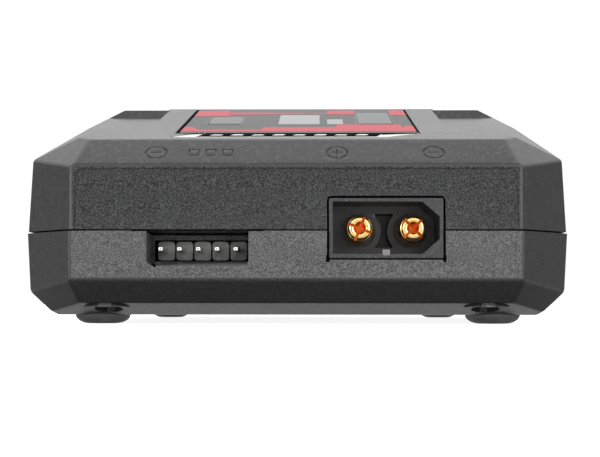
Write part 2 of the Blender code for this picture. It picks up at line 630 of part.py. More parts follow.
def balance_header():
    """Five notched blocks in a row, joined by a web, with a square hole for each pin."""
    face, back = FRONT + 8.0, FRONT + 8.0 + BLOCK_DEPTH
    web = 0.35
    ends = PITCH * (WAYS - 1) / 2 + BLOCK / 2 - 0.05
    body = place("balance_header", box((HEADER_MID_X - ends, face + web, PIN_Z - BLOCK / 2 + web),
                                       (HEADER_MID_X + ends, back, PIN_Z + BLOCK / 2 - web)),
                 "black_part")
    for way in range(WAYS):
        x = HEADER_MID_X + PITCH * (way - (WAYS - 1) / 2)
        half = PITCH / 2 - 0.16
        tile = box((x - half, face, PIN_Z - BLOCK / 2), (x + half, back - 0.3, PIN_Z + BLOCK / 2))
        edges = [e for e in tile.edges if abs((e.verts[0].co - e.verts[1].co).y) > 1]
        bmesh.ops.bevel(tile, geom=edges, offset=0.5, segments=1, affect="EDGES")
        combine(body, place(f"add_header_block_{way}", tile), "UNION")
        slot = PIN_SIDE / 2 + 0.16
        hole = box((x - slot, face - 1, PIN_Z - slot), (x + slot, back + 1, PIN_Z + slot))
        combine(body, place(f"cut_header_way_{way}", hole))
        balance_pin(way, x)


def balance_pin(way, x):
    """One square pin: its tip in the port, a right-angle bend, and its tail over the board."""
    half, heel = PIN_SIDE / 2, FRONT + 12.6
    shaft = box((x - half, FRONT + PIN_TIP_T, PIN_Z - half), (x + half, heel, PIN_Z + half))
    tip = [e for e in shaft.edges if all(v.co.y < FRONT + PIN_TIP_T + 0.01 for v in e.verts)]
    bmesh.ops.bevel(shaft, geom=tip, offset=0.18, segments=1, affect="EDGES")
    pin = place(f"balance_pin_{way + 1}", shaft, "tin")
    tail = box((x - half, heel - PIN_SIDE, BOARD_Z[1] + 0.2), (x + half, heel, PIN_Z + 0.1))
    combine(pin, place(f"add_pin_tail_{way}", tail), "UNION")


def power_socket():
    """The socket's shell: a hollow with two cut corners, and a floor with two contact holes."""
    x0, x1 = SOCKET_X
    z0, z1 = SOCKET_Z
    face = FRONT + SOCKET_T
    shell = place("power_socket", box((x0, face, z0), (x1, face + SOCKET_DEPTH, z1), 0.25),
                  "socket_plastic")
    floor = FRONT + CAVITY_FLOOR_T
    hollow = box((CAVITY_X[0], face - 1, CAVITY_Z[0]), (CAVITY_X[1], floor, CAVITY_Z[1]))
    for up, z in ((1, CAVITY_Z[1]), (-1, CAVITY_Z[0])):
        trim(hollow, Vector((CAVITY_X[1] - 2.3, 0, z)), Vector((2.0, 0, up * 2.3)).normalized())
    combine(shell, place("cut_socket_hollow", hollow))
    waist = (CONTACT_X[0] + CONTACT_X[1]) / 2
    bow = box((waist - 1.25, floor - 1, 10.7), (waist + 1.25, floor + 4, 15.45))
    recess = place("cut_socket_recess", bow)
    for side in (-1, 1):
        disc = rod((waist + side * (3.2 + 0.4), floor - 2, CONTACT_Z), (0, 1, 0), 8, 3.2, sides=32)
        combine(recess, place(f"cut_bow_side_{side}", disc))
    combine(shell, recess)
    for number, x in enumerate(CONTACT_X):
        bore = rod((x, floor - 1, CONTACT_Z), (0, 1, 0), SOCKET_DEPTH, 1.55)
        seat = rod((x, floor - 1, CONTACT_Z), (0, 1, 0), 1.75, 2.35)
        combine(shell, place(f"cut_contact_bore_{number}", bore))
        combine(shell, place(f"cut_contact_seat_{number}", seat))


def socket_contacts():
    """Two hollow split pins, each with a collar and a solder tail."""
    tip, floor = FRONT + 1.0, FRONT + CAVITY_FLOOR_T
    length = floor - tip
    nose, barrel, bore, tail = 1.62, 2.05, 0.62, 1.3
    profile = [(0, length + 11.0), (tail, length + 11.0), (tail, length + 0.5), (barrel, length + 0.5),
               (barrel, 3.2), (nose, 0.9), (nose, 0.4), (nose - 0.3, 0),
               (bore + 0.2, 0), (bore, 0.3), (bore, 5.6), (0, 5.6)]
    turns = {"socket_contact_left": 22, "socket_contact_right": 45}
    for x, (name, turn) in zip(CONTACT_X, turns.items()):
        contact = turned(name, profile, "gold", (x, tip, CONTACT_Z), (0, 1, 0), steps=32)
        for number in range(2):
            slit = box((-3, -0.2, -1), (3, 0.2, 4.6))
            cutter = place(f"cut_{name}_{number}", slit)
            spin = Matrix.Rotation(math.radians(turn + 90 * number), 4, "Z")
            at = Matrix.Translation(Vector((x, tip, CONTACT_Z)) * MM)
            cutter.matrix_world = at @ along((0, 1, 0)) @ spin
            combine(contact, cutter)


def mains_inlet():
    """The inlet's shell, with a two-lobed hollow, and its two round pins."""
    face = REAR - 0.4
    block = box((-INLET_HALF, face - INLET_DEPTH, INLET_Z[0]), (INLET_HALF, face, INLET_Z[1]), 0.5)
    shell = place("ac_inlet", block, "black_part")
    floor = face - INLET_HOLLOW
    for side in (-1, 1):
        x = side * INLET_PIN_X
        lobe = rod((x, floor, INLET_MID_Z), (0, 1, 0), INLET_HOLLOW + 2, INLET_LOBE, sides=32)
        combine(shell, place(f"cut_inlet_lobe_{side}", lobe))
        bore = rod((x, face - INLET_DEPTH - 1, INLET_MID_Z), (0, 1, 0), INLET_DEPTH, INLET_PIN_R + 0.25)
        combine(shell, place(f"cut_inlet_bore_{side}", bore))
        profile = [(0, 20.6), (0.6, 20.6), (INLET_PIN_R, 19.8), (INLET_PIN_R, 0.0), (0, 0.0)]
        number = 1 if side < 0 else 2
        turned(f"ac_pin_{number}", profile, "tin", (x, face - INLET_DEPTH - 3, INLET_MID_Z), (0, 1, 0))
    waist = box((-INLET_PIN_X, floor, INLET_MID_Z - 3.6), (INLET_PIN_X, face + 2, INLET_MID_Z + 3.6))
    combine(shell, place("cut_inlet_waist", waist))


def main_board():
    board = place("main_board", box((-BOARD_X, -BOARD_Y, BOARD_Z[0]), (BOARD_X, BOARD_Y, BOARD_Z[1])),
                  "board")
    for number, (x, y) in enumerate(BOARD_SCREWS):
        combine(board, place(f"cut_board_hole_{number}", rod((x, y, 5), (0, 0, 1), 6, 1.4)))


def screw_profile(head_r, head, shank_r, length):
    """A screw's half section: its head's top is at 0 and its tip is below."""
    return [(0, 0), (head_r * 0.7, 0), (head_r, -head * 0.4), (head_r, -head), (shank_r, -head),
            (shank_r, -head - length + 0.8), (shank_r * 0.3, -head - length), (0, -head - length)]


def fixings():
    for number, (x, y) in enumerate(screw_spots(), 1):
        case_screw = screw_profile(1.75, 1.5, 1.1, 11.0)
        turned(f"case_screw_{number}", case_screw, "steel", (x, y, SCREW_SEAT_Z - 0.15 - 1.5), (0, 0, -1))
    small = screw_profile(1.7, 1.2, 0.8, 4.5)
    for number, (x, y) in enumerate(BOARD_SCREWS, 1):
        turned(f"board_screw_{number}", small, "steel", (x, y, BOARD_Z[1] + 0.15 + 1.2))
    for number, side in enumerate((-1, 1), 3):
        head_w = PANEL_BOARD_TOP - BOARD - 0.15 - 1.2
        t = PANEL_T + PANEL_SCREW_V * math.cos(PANEL_TILT)
        outward = (0, math.sin(PANEL_TILT), -math.cos(PANEL_TILT))
        at = panel_point(side * PANEL_SCREW_X, t, -head_w)
        turned(f"board_screw_{number}", small, "steel", at, outward)


def foot_spots():
    for x in (-FOOT_X, FOOT_X):
        for y in (FRONT + FOOT_T, REAR - FOOT_T):
            yield x, y


def rubber_feet():
    """Round stick-on feet: a domed edge and a small flat that rests on the table."""
    seat, flat, bulge = BASE_Z + FOOT_SEAT - 0.15, 1.8, 1.3
    arc = [(flat + (FOOT_R - flat) * math.sin(a), bulge * (1 - math.cos(a)))
           for a in (math.radians(90 * k / 5) for k in range(5, -1, -1))]
    profile = [(0, seat), (FOOT_R, seat)] + arc + [(0, 0)]
    for number, (x, y) in enumerate(foot_spots(), 1):
        turned(f"foot_{number}", profile, "rubber", (x, y, 0), steps=32)


def power_parts():
    """The mains and power pieces on the main board."""
    top = BOARD_Z[1] + STAND
    core = place("transformer_core", box((-15, 8, top), (11, 20, top + 22), 0.3), "ferrite")
    for side in (-1, 1):
        middle = -2 + side * 6.5
        window = box((middle - 3, 5, top + 4), (middle + 3, 25, top + 18))
        combine(core, place(f"cut_core_window_{side}", window))
    coil = place("transformer_winding", box((-11, 3.5, top + 4.4), (7, 24.5, top + 17.6), 1.2), "winding")
    combine(coil, place("cut_winding", box((-5.8, 7.7, top), (1.8, 20.3, top + 22))))
    turned("bulk_capacitor", [(0, 24), (7.4, 24), (8, 23.4), (8, 3.2), (7.5, 2.6), (8, 2.0), (8, 0.4),
                              (7.6, 0), (0, 0)], "can", (23.5, 12, top + 8.1), (0, 1, 0))
    can = [(0, 13), (3.6, 13), (4, 12.6), (4, 1.8), (3.7, 1.4), (4, 1.0), (4, 0), (0, 0)]
    turned("output_capacitor_1", can, "can", (27, -34, top))
    turned("output_capacitor_2", can, "can", (-26, -20, top))
    sink = place("heat_sink", box((-31, 0, top), (-29.2, 34, top + 17)), "aluminium")
    for number in range(5):
        fin = box((-30, 2 + 7 * number, top), (-25.5, 3.4 + 7 * number, top + 16))
        combine(sink, place(f"add_fin_{number}", fin), "UNION")
    for number in range(2):
        y = -2 - 12 * number
        tab = box((12, y - 5, top + 2), (13.3, y + 5, top + 15))
        piece = place(f"power_transistor_{number + 1}", tab, "steel")
        body = box((13, y - 5, top + 1), (16.5, y + 5, top + 10), 0.3)
        combine(piece, place(f"add_transistor_body_{number}", body), "UNION")
    ring = [(3.2 + 5.6 - 2.8 + 2.8 * math.cos(a), 2.8 + 2.8 * math.sin(a))
            for a in (math.radians(90 - 30 * k) for k in range(13))]
    turned("filter_choke", ring, "winding", (-16, -7, top), steps=32)
    turned("fuse", [(0, 18), (2.4, 18), (2.6, 17.5), (2.6, 13), (2.2, 12.8), (2.2, 5.2), (2.6, 5),
                    (2.6, 0.5), (2.4, 0), (0, 0)], "fuse_glass", (14.5, 41, top + 2.7), (1, 0, 0))
    place("controller_chip", box((-5, -36, top), (2, -29, top + 1.1), 0.2), "black_part")


def board_link():
    """The tall pin strip that carries the panel board's signals down to the main board."""
    foot = BOARD_Z[1] + STAND
    under = panel_point(0, 36.0, -(PANEL_BOARD_TOP - BOARD))
    strip = box((-8.6, under.y - 1.2, foot), (8.6, under.y + 1.2, under.z - 0.6))
    place("board_link_header", strip, "black_part")


def build():
    lower_case()
    upper_case()
    panel_films()
    key_parts()
    panel_windows()
    status_leds()
    panel_board()
    main_board()
    balance_header()
    power_socket()
    socket_contacts()
    mains_inlet()
    power_parts()
    board_link()
    fixings()
    rubber_feet()


reset_scene()
PARTS = make_collection(PART_NAME)
CUTTERS = make_collection("cutters")
PANEL = panel_frame()
build()
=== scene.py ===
# %% [markdown]
# # A balance battery charger
# This lesson dresses a finished design. The frame that we load first already holds every moulding,
# pin and screw at its true size, so nothing here moves or resizes one. We add what the design leaves
# out: soft edges, the grain of the moulded plastic, printed inks, split gold contacts, and light.

# %% Load the frame
import json
import math

import bmesh
import bpy
from mathutils import Matrix, Vector


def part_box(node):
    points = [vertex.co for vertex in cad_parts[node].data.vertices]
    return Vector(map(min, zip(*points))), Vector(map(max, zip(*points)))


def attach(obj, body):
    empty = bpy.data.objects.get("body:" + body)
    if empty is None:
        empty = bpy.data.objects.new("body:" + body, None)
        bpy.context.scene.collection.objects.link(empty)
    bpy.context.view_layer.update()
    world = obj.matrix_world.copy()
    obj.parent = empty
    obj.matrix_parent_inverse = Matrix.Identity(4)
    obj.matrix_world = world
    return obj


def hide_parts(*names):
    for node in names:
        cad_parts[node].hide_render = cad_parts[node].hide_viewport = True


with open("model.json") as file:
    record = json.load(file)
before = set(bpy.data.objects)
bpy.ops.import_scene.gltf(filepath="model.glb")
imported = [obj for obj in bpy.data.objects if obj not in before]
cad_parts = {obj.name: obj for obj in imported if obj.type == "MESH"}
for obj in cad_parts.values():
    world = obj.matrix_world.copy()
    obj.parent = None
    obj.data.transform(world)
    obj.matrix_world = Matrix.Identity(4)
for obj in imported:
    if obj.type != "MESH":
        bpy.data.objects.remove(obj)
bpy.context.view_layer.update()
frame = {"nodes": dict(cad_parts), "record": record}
nodes = frame["nodes"]
MM = 0.001

# %% [markdown]
# ## Where things are
# The places here are read from the frame. The case gives the front face. The keys' own travel gives
# the panel's slope: they move square to it, so the opposite of their axis is the panel's outward
# direction. Points on the panel are then written as x, v and w: across it, up its slope, and out of it.

# %% Read the places
joints = frame["record"]["behaviour"]["joints"]
PANEL_OUT = -Vector(joints[0]["axis"]).normalized()
PANEL_UP = Vector((1, 0, 0)).cross(PANEL_OUT) * -1
PANEL_UP = PANEL_UP if PANEL_UP.z > 0 else -PANEL_UP


def panel_extent(node):
    """Lowest and highest x, v and w of a node, measured in the panel's own directions."""
    points = [vertex.co for vertex in nodes[node].data.vertices]
    spread = [[p.x for p in points], [p.dot(PANEL_UP) for p in points], [p.dot(PANEL_OUT) for p in points]]
    return [min(s) for s in spread], [max(s) for s in spread]


film_low, film_high = panel_extent("panel_overlay")
front_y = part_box("lower_case")[0][1]
print("film", [round((b - a) / MM, 2) for a, b in zip(film_low, film_high)], "mm")

# %% [markdown]
# ## The camera
# A long lens stands close to the front, almost level with the table and a little to the right of
# the middle, so the front face fills the view and the sloping panel is seen nearly edge on. It is
# tipped up by three degrees, which keeps the object above the middle of the lower half.

# %% Place the camera
CAMERA_BACK, CAMERA_RIGHT, CAMERA_UP = 173.17 * MM, 3.12 * MM, 2.85 * MM
PITCH_UP, YAW_LEFT, ROLL = math.radians(3.325), math.radians(0.843), math.radians(0.057)

camera = bpy.data.objects.new("camera", bpy.data.cameras.new("camera"))
camera.data.lens = 77.58
camera.data.sensor_width = 36.0
camera.data.clip_start = 0.005
camera.location = (CAMERA_RIGHT, front_y - CAMERA_BACK, CAMERA_UP)
level_part = math.cos(PITCH_UP)
aim = Vector((-math.sin(YAW_LEFT) * level_part, math.cos(YAW_LEFT) * level_part, math.sin(PITCH_UP)))
camera.rotation_mode = "QUATERNION"
camera.rotation_quaternion = aim.to_track_quat("-Z", "Y") @ Matrix.Rotation(ROLL, 3, "Z").to_quaternion()
bpy.context.scene.collection.objects.link(camera)
bpy.context.scene.camera = camera
print("camera", [round(c / MM, 1) for c in camera.location], "mm")

# %% [markdown]
# ## Shared effects
# Four effects turn up in many finishes, so each is a node group with named inputs: the grain that
# spark erosion leaves in a mould, whose crests and pits also carry painted highlight and painted
# shade, slow changes of tone, a lightening of edges that is partly wear from handling and partly
# painted highlight, and dust on what faces up. A group puts out only heights and masks. The shader
# itself stays in each material, where its fixed values are set on its own sockets.

# %% A helper that starts a node group


def start_group(name, inputs, outputs):
    """A shader group with named float inputs and outputs; returns it with its two end nodes."""
    group = bpy.data.node_groups.new(name, "ShaderNodeTree")
    for label, value in inputs.items():
        socket = group.interface.new_socket(label, in_out="INPUT", socket_type="NodeSocketFloat")
        socket.default_value = value
    for label in outputs:
        group.interface.new_socket(label, in_out="OUTPUT", socket_type="NodeSocketFloat")
    return group, group.nodes.new("NodeGroupInput"), group.nodes.new("NodeGroupOutput")


def math_node(tree, operation, first, second=None, third=None):
    node = tree.nodes.new("ShaderNodeMath")
    node.operation = operation
    for slot, value in enumerate((first, second, third)):
        if isinstance(value, (int, float)):
            node.inputs[slot].default_value = value
        elif value is not None:
            tree.links.new(value, node.inputs[slot])
    return node.outputs[0]


def noise_node(tree, scale, detail, roughness=0.5):
    """Noise over Object coordinates; the scale is a number or another node's output."""
    place = tree.nodes.new("ShaderNodeTexCoord")
    noise = tree.nodes.new("ShaderNodeTexNoise")
    noise.inputs["Detail"].default_value = detail
    noise.inputs["Roughness"].default_value = roughness
    tree.links.new(place.outputs["Object"], noise.inputs["Vector"])
    if isinstance(scale, (int, float)):
        noise.inputs["Scale"].default_value = scale
    else:
        tree.links.new(scale, noise.inputs["Scale"])
    return noise.outputs["Fac"]


def ramp_node(tree, value, low, high):
    """Stretches the range from low to high over 0 to 1."""
    ramp = tree.nodes.new("ShaderNodeMapRange")
    ramp.inputs["From Min"].default_value = low
    ramp.inputs["From Max"].default_value = high
    tree.links.new(value, ramp.inputs["Value"])
    return ramp.outputs["Result"]


print("group helpers ready")

# %% [markdown]
# ### Spark grain
# The mould's surface is covered in tiny overlapping craters. Two noises make it: a fine one for the
# craters and a coarser one that gathers them into patches. The height drives a Bump node in the
# material. The crest output marks the few crests that get a painted highlight, and the pit output is
# a still finer noise that paints shade into dark pits and light onto the pale ground between them.

# %% Build the grain group
grain, grain_in, grain_out = start_group("spark_grain", {"Scale": 2200.0}, ("Height", "Crest_highlight", "Pit_shade"))
fine = noise_node(grain, grain_in.outputs["Scale"], 2.0, 0.6)
coarse_scale = math_node(grain, "MULTIPLY", grain_in.outputs["Scale"], 0.37)
coarse = noise_node(grain, coarse_scale, 2.0, 0.5)
weighted = math_node(grain, "MULTIPLY_ADD", coarse, 0.3, math_node(grain, "MULTIPLY", fine, 0.85))
grain.links.new(weighted, grain_out.inputs["Height"])
# Masks for a painted highlight on crests and painted shade in pits.
gathered = math_node(grain, "MULTIPLY_ADD", ramp_node(grain, coarse, 0.42, 0.6), 0.4, 0.6)
crest = math_node(grain, "MULTIPLY", ramp_node(grain, fine, 0.56, 0.72), gathered)
grain.links.new(crest, grain_out.inputs["Crest_highlight"])
pit_scale = math_node(grain, "MULTIPLY", grain_in.outputs["Scale"], 2.0)
grain.links.new(ramp_node(grain, noise_node(grain, pit_scale, 1.0), 0.36, 0.64), grain_out.inputs["Pit_shade"])
print("spark_grain:", len(grain.nodes), "nodes")

# %% [markdown]
# ### Slow tone, edge wear and painted highlight, and dust
# Plastic is never one even tone, so a wide noise moves the colour a little. Pointiness tells a convex
# edge from a flat, and there the colour is lightened: partly wear from handling, partly a painted
# highlight where a moulded edge would catch the light. Dust settles where the surface faces up,
# broken by a fine noise.

# %% Build the other groups
tone, tone_in, tone_out = start_group("slow_tone", {"Scale": 60.0}, ("Mask",))
slow_noise = noise_node(tone, tone_in.outputs["Scale"], 3.0)
tone.links.new(ramp_node(tone, slow_noise, 0.3, 0.7), tone_out.inputs["Mask"])

# Lightening of convex edges: partly wear, partly a painted highlight.
wear_and_highlight, wear_and_highlight_in, wear_and_highlight_out = start_group("edge_wear_and_highlight", {"Amount": 0.5}, ("Mask",))
geometry = wear_and_highlight.nodes.new("ShaderNodeNewGeometry")
edge = ramp_node(wear_and_highlight, geometry.outputs["Pointiness"], 0.52, 0.62)
worn_and_lit = math_node(wear_and_highlight, "MULTIPLY", edge, ramp_node(wear_and_highlight, noise_node(wear_and_highlight, 900.0, 3.0), 0.3, 0.6))
wear_and_highlight_share = math_node(wear_and_highlight, "MULTIPLY", worn_and_lit, wear_and_highlight_in.outputs["Amount"])
wear_and_highlight.links.new(wear_and_highlight_share, wear_and_highlight_out.inputs["Mask"])

dust, dust_in, dust_out = start_group("settled_dust", {"Amount": 0.3}, ("Mask",))
facing = dust.nodes.new("ShaderNodeNewGeometry")
upright = dust.nodes.new("ShaderNodeSeparateXYZ")
dust.links.new(facing.outputs["Normal"], upright.inputs["Vector"])
specks = ramp_node(dust, noise_node(dust, 1400.0, 4.0, 0.7), 0.52, 0.75)
lying = math_node(dust, "MULTIPLY", ramp_node(dust, upright.outputs["Z"], 0.3, 1.0), specks)
dust.links.new(math_node(dust, "MULTIPLY", lying, dust_in.outputs["Amount"]), dust_out.inputs["Mask"])
print("slow_tone, edge_wear_and_highlight and settled_dust ready")

# %% [markdown]
# ## One maker for all the finishes
# Each finish starts from the same chain: a base colour that the tone, a painted highlight on the
# grain's crests, painted shade in its pits, the edges' wear and painted highlight, and the dust lighten
# or darken, a roughness that the grain varies, and a bump. What differs is how much of each, so the
# maker takes those as named values and a metal or a coat is a value more.

# %% The finish maker


def group_node(tree, group, **values):
    node = tree.nodes.new("ShaderNodeGroup")
    node.node_tree = group
    for label, value in values.items():
        node.inputs[label].default_value = value
    return node


def mix_color(tree, factor, first, second):
    """Blends from one colour to another; either may be a socket or plain numbers."""
    node = tree.nodes.new("ShaderNodeMix")
    node.data_type = "RGBA"
    tree.links.new(factor, node.inputs["Factor"])
    for slot, value in ((6, first), (7, second)):
        if isinstance(value, bpy.types.NodeSocket):
            tree.links.new(value, node.inputs[slot])
        else:
            node.inputs[slot].default_value = (*value, 1.0)
    return node.outputs[2]


def scaled(color, by):
    return tuple(min(1.0, c * by) for c in color)


def finish(name, color, roughness=0.5, grain_scale=2200.0, bump=0.3, depth=0.05, spread=0.2,
           crest_light=1.5, wear_and_highlight_amount=0.4, dust_amount=0.2, metallic=0.0, rough_spread=0.12,
           specular=0.5, painted_grain_shading=0.0, dust_color=(0.42, 0.41, 0.39)):
    """A moulded, printed or metal finish; depth is the grain's height in millimetres, and the grain
    shading value is how far the painted shade in its pits and the painted light between them part in tone."""
    material = bpy.data.materials.new(name)
    material.use_nodes = True
    tree = material.node_tree
    shader = tree.nodes["Principled BSDF"]
    shader.inputs["Metallic"].default_value = metallic
    shader.inputs["Specular IOR Level"].default_value = specular
    grained = group_node(tree, grain, Scale=grain_scale)
    toned = group_node(tree, tone)
    shade = mix_color(tree, toned.outputs["Mask"], scaled(color, 1 - spread), scaled(color, 1 + spread))
    # Painted shade in the grain's pits and painted light on the ground between them, in place of the light
    # and shade of its relief.
    if painted_grain_shading:
        pit_shade_color, lit_ground_color = scaled(color, 1 - painted_grain_shading), scaled(color, 1 + painted_grain_shading)
        grain_light_and_shade = mix_color(tree, grained.outputs["Pit_shade"], pit_shade_color, lit_ground_color)
        share = math_node(tree, "MULTIPLY_ADD", toned.outputs["Mask"], 0.1, 0.85)
        shade = mix_color(tree, share, shade, grain_light_and_shade)
    # A painted highlight on the grain's crests.
    crests = math_node(tree, "MULTIPLY", grained.outputs["Crest_highlight"], 0.85)
    shade = mix_color(tree, crests, shade, scaled(color, crest_light))
    # Convex edges are lightened: partly wear from handling, partly a painted highlight.
    edge_wear_and_light = group_node(tree, wear_and_highlight, Amount=wear_and_highlight_amount)
    shade = mix_color(tree, edge_wear_and_light.outputs["Mask"], shade, scaled(color, 2.0 if metallic < 0.5 else 1.1))
    dusty = group_node(tree, dust, Amount=dust_amount)
    shade = mix_color(tree, dusty.outputs["Mask"], shade, dust_color)
    tree.links.new(shade, shader.inputs["Base Color"])
    rough = tree.nodes.new("ShaderNodeMapRange")
    rough.inputs["To Min"].default_value = roughness - rough_spread
    rough.inputs["To Max"].default_value = roughness + rough_spread
    tree.links.new(grained.outputs["Height"], rough.inputs["Value"])
    tree.links.new(rough.outputs["Result"], shader.inputs["Roughness"])
    relief = tree.nodes.new("ShaderNodeBump")
    relief.inputs["Strength"].default_value = bump
    relief.inputs["Distance"].default_value = depth * MM
    tree.links.new(grained.outputs["Height"], relief.inputs["Height"])
    tree.links.new(relief.outputs["Normal"], shader.inputs["Normal"])
    return material


# %% The finishes of this charger
upper_grain = finish("upper_grain", (0.036, 0.036, 0.037), 0.50, 2500.0, 1.0, 0.12, 0.14, 2.6,
                     wear_and_highlight_amount=0.25, painted_grain_shading=0.8, specular=0.22)
# The lower shell's walls get a lighter base colour than the upper's: painted light, for the brighter
# reflected light on the lower front face.
lower_grain_painted_light = finish("lower_grain_painted_light", (0.092, 0.091, 0.092), 0.52, 2500.0, 1.0, 0.12, 0.14, 1.9,
                     wear_and_highlight_amount=0.2, painted_grain_shading=0.52, specular=0.3)
case_satin = finish("case_satin", (0.030, 0.030, 0.031), 0.38, 2500.0, 0.5, 0.04, 0.10, 1.8,
                    wear_and_highlight_amount=0.3, painted_grain_shading=0.3)
# These get no edge lightening, neither wear nor painted highlight.
flat = {"bump": 0.03, "depth": 0.01, "spread": 0.05, "crest_light": 1.1, "wear_and_highlight_amount": 0.0,
        "rough_spread": 0.03}  # print and clear plastic have no grain and no worn edges
film_black = finish("film_black", (0.018, 0.018, 0.020), 0.30, dust_amount=0.1, specular=0.03, **flat)
ink_black = finish("ink_black", (0.012, 0.012, 0.013), 0.60, dust_amount=0.0, specular=0.0, **flat)
ink_red = finish("ink_red", (0.46, 0.010, 0.028), 0.32, dust_amount=0.05, specular=0.03, **flat)
plate_white = finish("plate_white", (0.70, 0.70, 0.69), 0.30, dust_amount=0.02, specular=0.1, **flat)
key_grey = finish("key_grey", (0.18, 0.185, 0.185), 0.40, dust_amount=0.02, specular=0.05, **flat)
window_milk = finish("window_milk", (0.22, 0.228, 0.225), 0.25, dust_amount=0.02, specular=0.05, **flat)
nylon_black = finish("nylon_black", (0.040, 0.040, 0.042), 0.30, 1500.0, 0.25, 0.03, 0.2, 1.8)
nylon_rim = finish("nylon_rim", (0.030, 0.030, 0.032), 0.45, 2700.0, 0.9, 0.09, 0.2, 3.0,
                   wear_and_highlight_amount=0.6, painted_grain_shading=0.5)
# Black nylon given a mid grey base colour: painted light, for the light its blocks catch deep in the port.
header_black_painted_light = finish("header_black_painted_light", (0.28, 0.28, 0.27), 0.40, 2600.0, 0.5, 0.04, 0.25, 2.0,
                      wear_and_highlight_amount=0.8)
gold_plate = finish("gold_plate", (0.93, 0.63, 0.24), 0.16, 900.0, 0.1, 0.01, 0.08, 1.1,
                    metallic=1.0, dust_amount=0.0)
copper_core = finish("copper_core", (0.90, 0.24, 0.05), 0.30, 1200.0, 0.3, 0.02, 0.15, 1.2,
                     metallic=1.0, dust_amount=0.0)
tin_plate = finish("tin_plate", (0.86, 0.86, 0.84), 0.18, 1500.0, 0.1, 0.01, 0.06, 1.1,
                   metallic=1.0, dust_amount=0.0)
zinc_steel = finish("zinc_steel", (0.55, 0.55, 0.56), 0.30, 1500.0, 0.3, 0.02, 0.12, 1.2, metallic=1.0)
foot_rubber = finish("foot_rubber", (0.075, 0.075, 0.077), 0.62, 2400.0, 0.6, 0.05, 0.2, 2.0,
                     dust_amount=0.5)
print(len(bpy.data.materials), "materials so far")

# %% [markdown]
# ## Skins for the mouldings
# A piece from the frame comes as loose triangles, which shade as facets. A skin is a copy whose
# corners are merged and whose flats are made whole again. A fine bevel then rounds the edges that
# the mould leaves, and weighted normals keep the flats flat while the bevels turn the light.

# %% The skin maker


def link(name, mesh):
    piece = bpy.data.objects.new(name, mesh)
    bpy.context.scene.collection.objects.link(piece)
    return piece


def settle(piece):
    """Bakes the modifiers into the mesh, so that the finished piece is a plain one."""
    graph = bpy.context.evaluated_depsgraph_get()
    graph.update()
    mesh = bpy.data.meshes.new_from_object(piece.evaluated_get(graph))
    piece.modifiers.clear()
    piece.data = mesh
    return piece


def soften(piece, width, segments=2, angle=32):
    """Rounds the edges sharper than an angle and weights the normals towards the large flats."""
    if width:
        bevel = piece.modifiers.new("edges", "BEVEL")
        bevel.width = width * MM
        bevel.segments = segments
        bevel.limit_method = "ANGLE"
        bevel.angle_limit = math.radians(angle)
        bevel.miter_outer = "MITER_ARC"
        bevel.harden_normals = False
    piece.data.shade_smooth()
    piece.data.set_sharp_from_angle(angle=math.radians(48))
    weigh = piece.modifiers.new("flats", "WEIGHTED_NORMAL")
    weigh.keep_sharp = True
    return settle(piece)


def skin(node, material, body="case", width=0.0, slot=None, segments=2, other=None, where=None):
    """A merged, softened copy of a frame node, which stands for it; faces that pass a test get
    the other material."""
    mesh = nodes[node].data.copy()
    bm = bmesh.new()
    bm.from_mesh(mesh)
    bmesh.ops.remove_doubles(bm, verts=bm.verts, dist=2e-6)
    bmesh.ops.dissolve_limit(bm, angle_limit=math.radians(0.5), verts=bm.verts, edges=bm.edges)
    bm.to_mesh(mesh)
    bm.free()
    mesh.materials.clear()
    mesh.materials.append(material)
    piece = soften(link(f"{node}_skin", mesh), width, segments)
    if other:
        piece.data.materials.append(other)
        for face in piece.data.polygons:
            face.material_index = int(where(face))
    ride(piece, body, slot or slot_of(node), node)
    return piece


def slot_of(node):
    return next(s["material_slot"] for s in frame["record"]["subparts"] if s["node"] == node)


def ride(piece, body, slot, *stands_for):
    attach(piece, body)
    if stands_for:
        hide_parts(*stands_for)


# %% [markdown]
# The mould is sparked only on the upright walls of each shell. Its flats that lie on the slant, and
# the top, are stoned to a satin. So each shell's skin carries two finishes, and a face's own
# direction decides which it gets.

# %% Skin the two shells


def is_wall(face):
    """True for a large upright face that looks straight forward, back or sideways."""
    return abs(face.normal.z) < 0.12 and max(abs(face.normal.x), abs(face.normal.y)) > 0.98


for shell, walls in (("lower_case", lower_grain_painted_light), ("upper_case", upper_grain)):
    made = skin(shell, case_satin, other=walls, where=is_wall)
    print(made.name, len(made.data.polygons), "faces")

# %% [markdown]
# ## The printed film
# The film is a thin black sheet with four openings, and red ink covers its front and rear bands.
# Each ink is a flat curve outline with a hair of thickness, laid on the panel's slope, so its edges
# stay crisp from any distance. The front band steps up towards the right, as a printed flash does.

# %% The ink maker
INK = 0.02  # how far an ink stands off its film, in millimetres


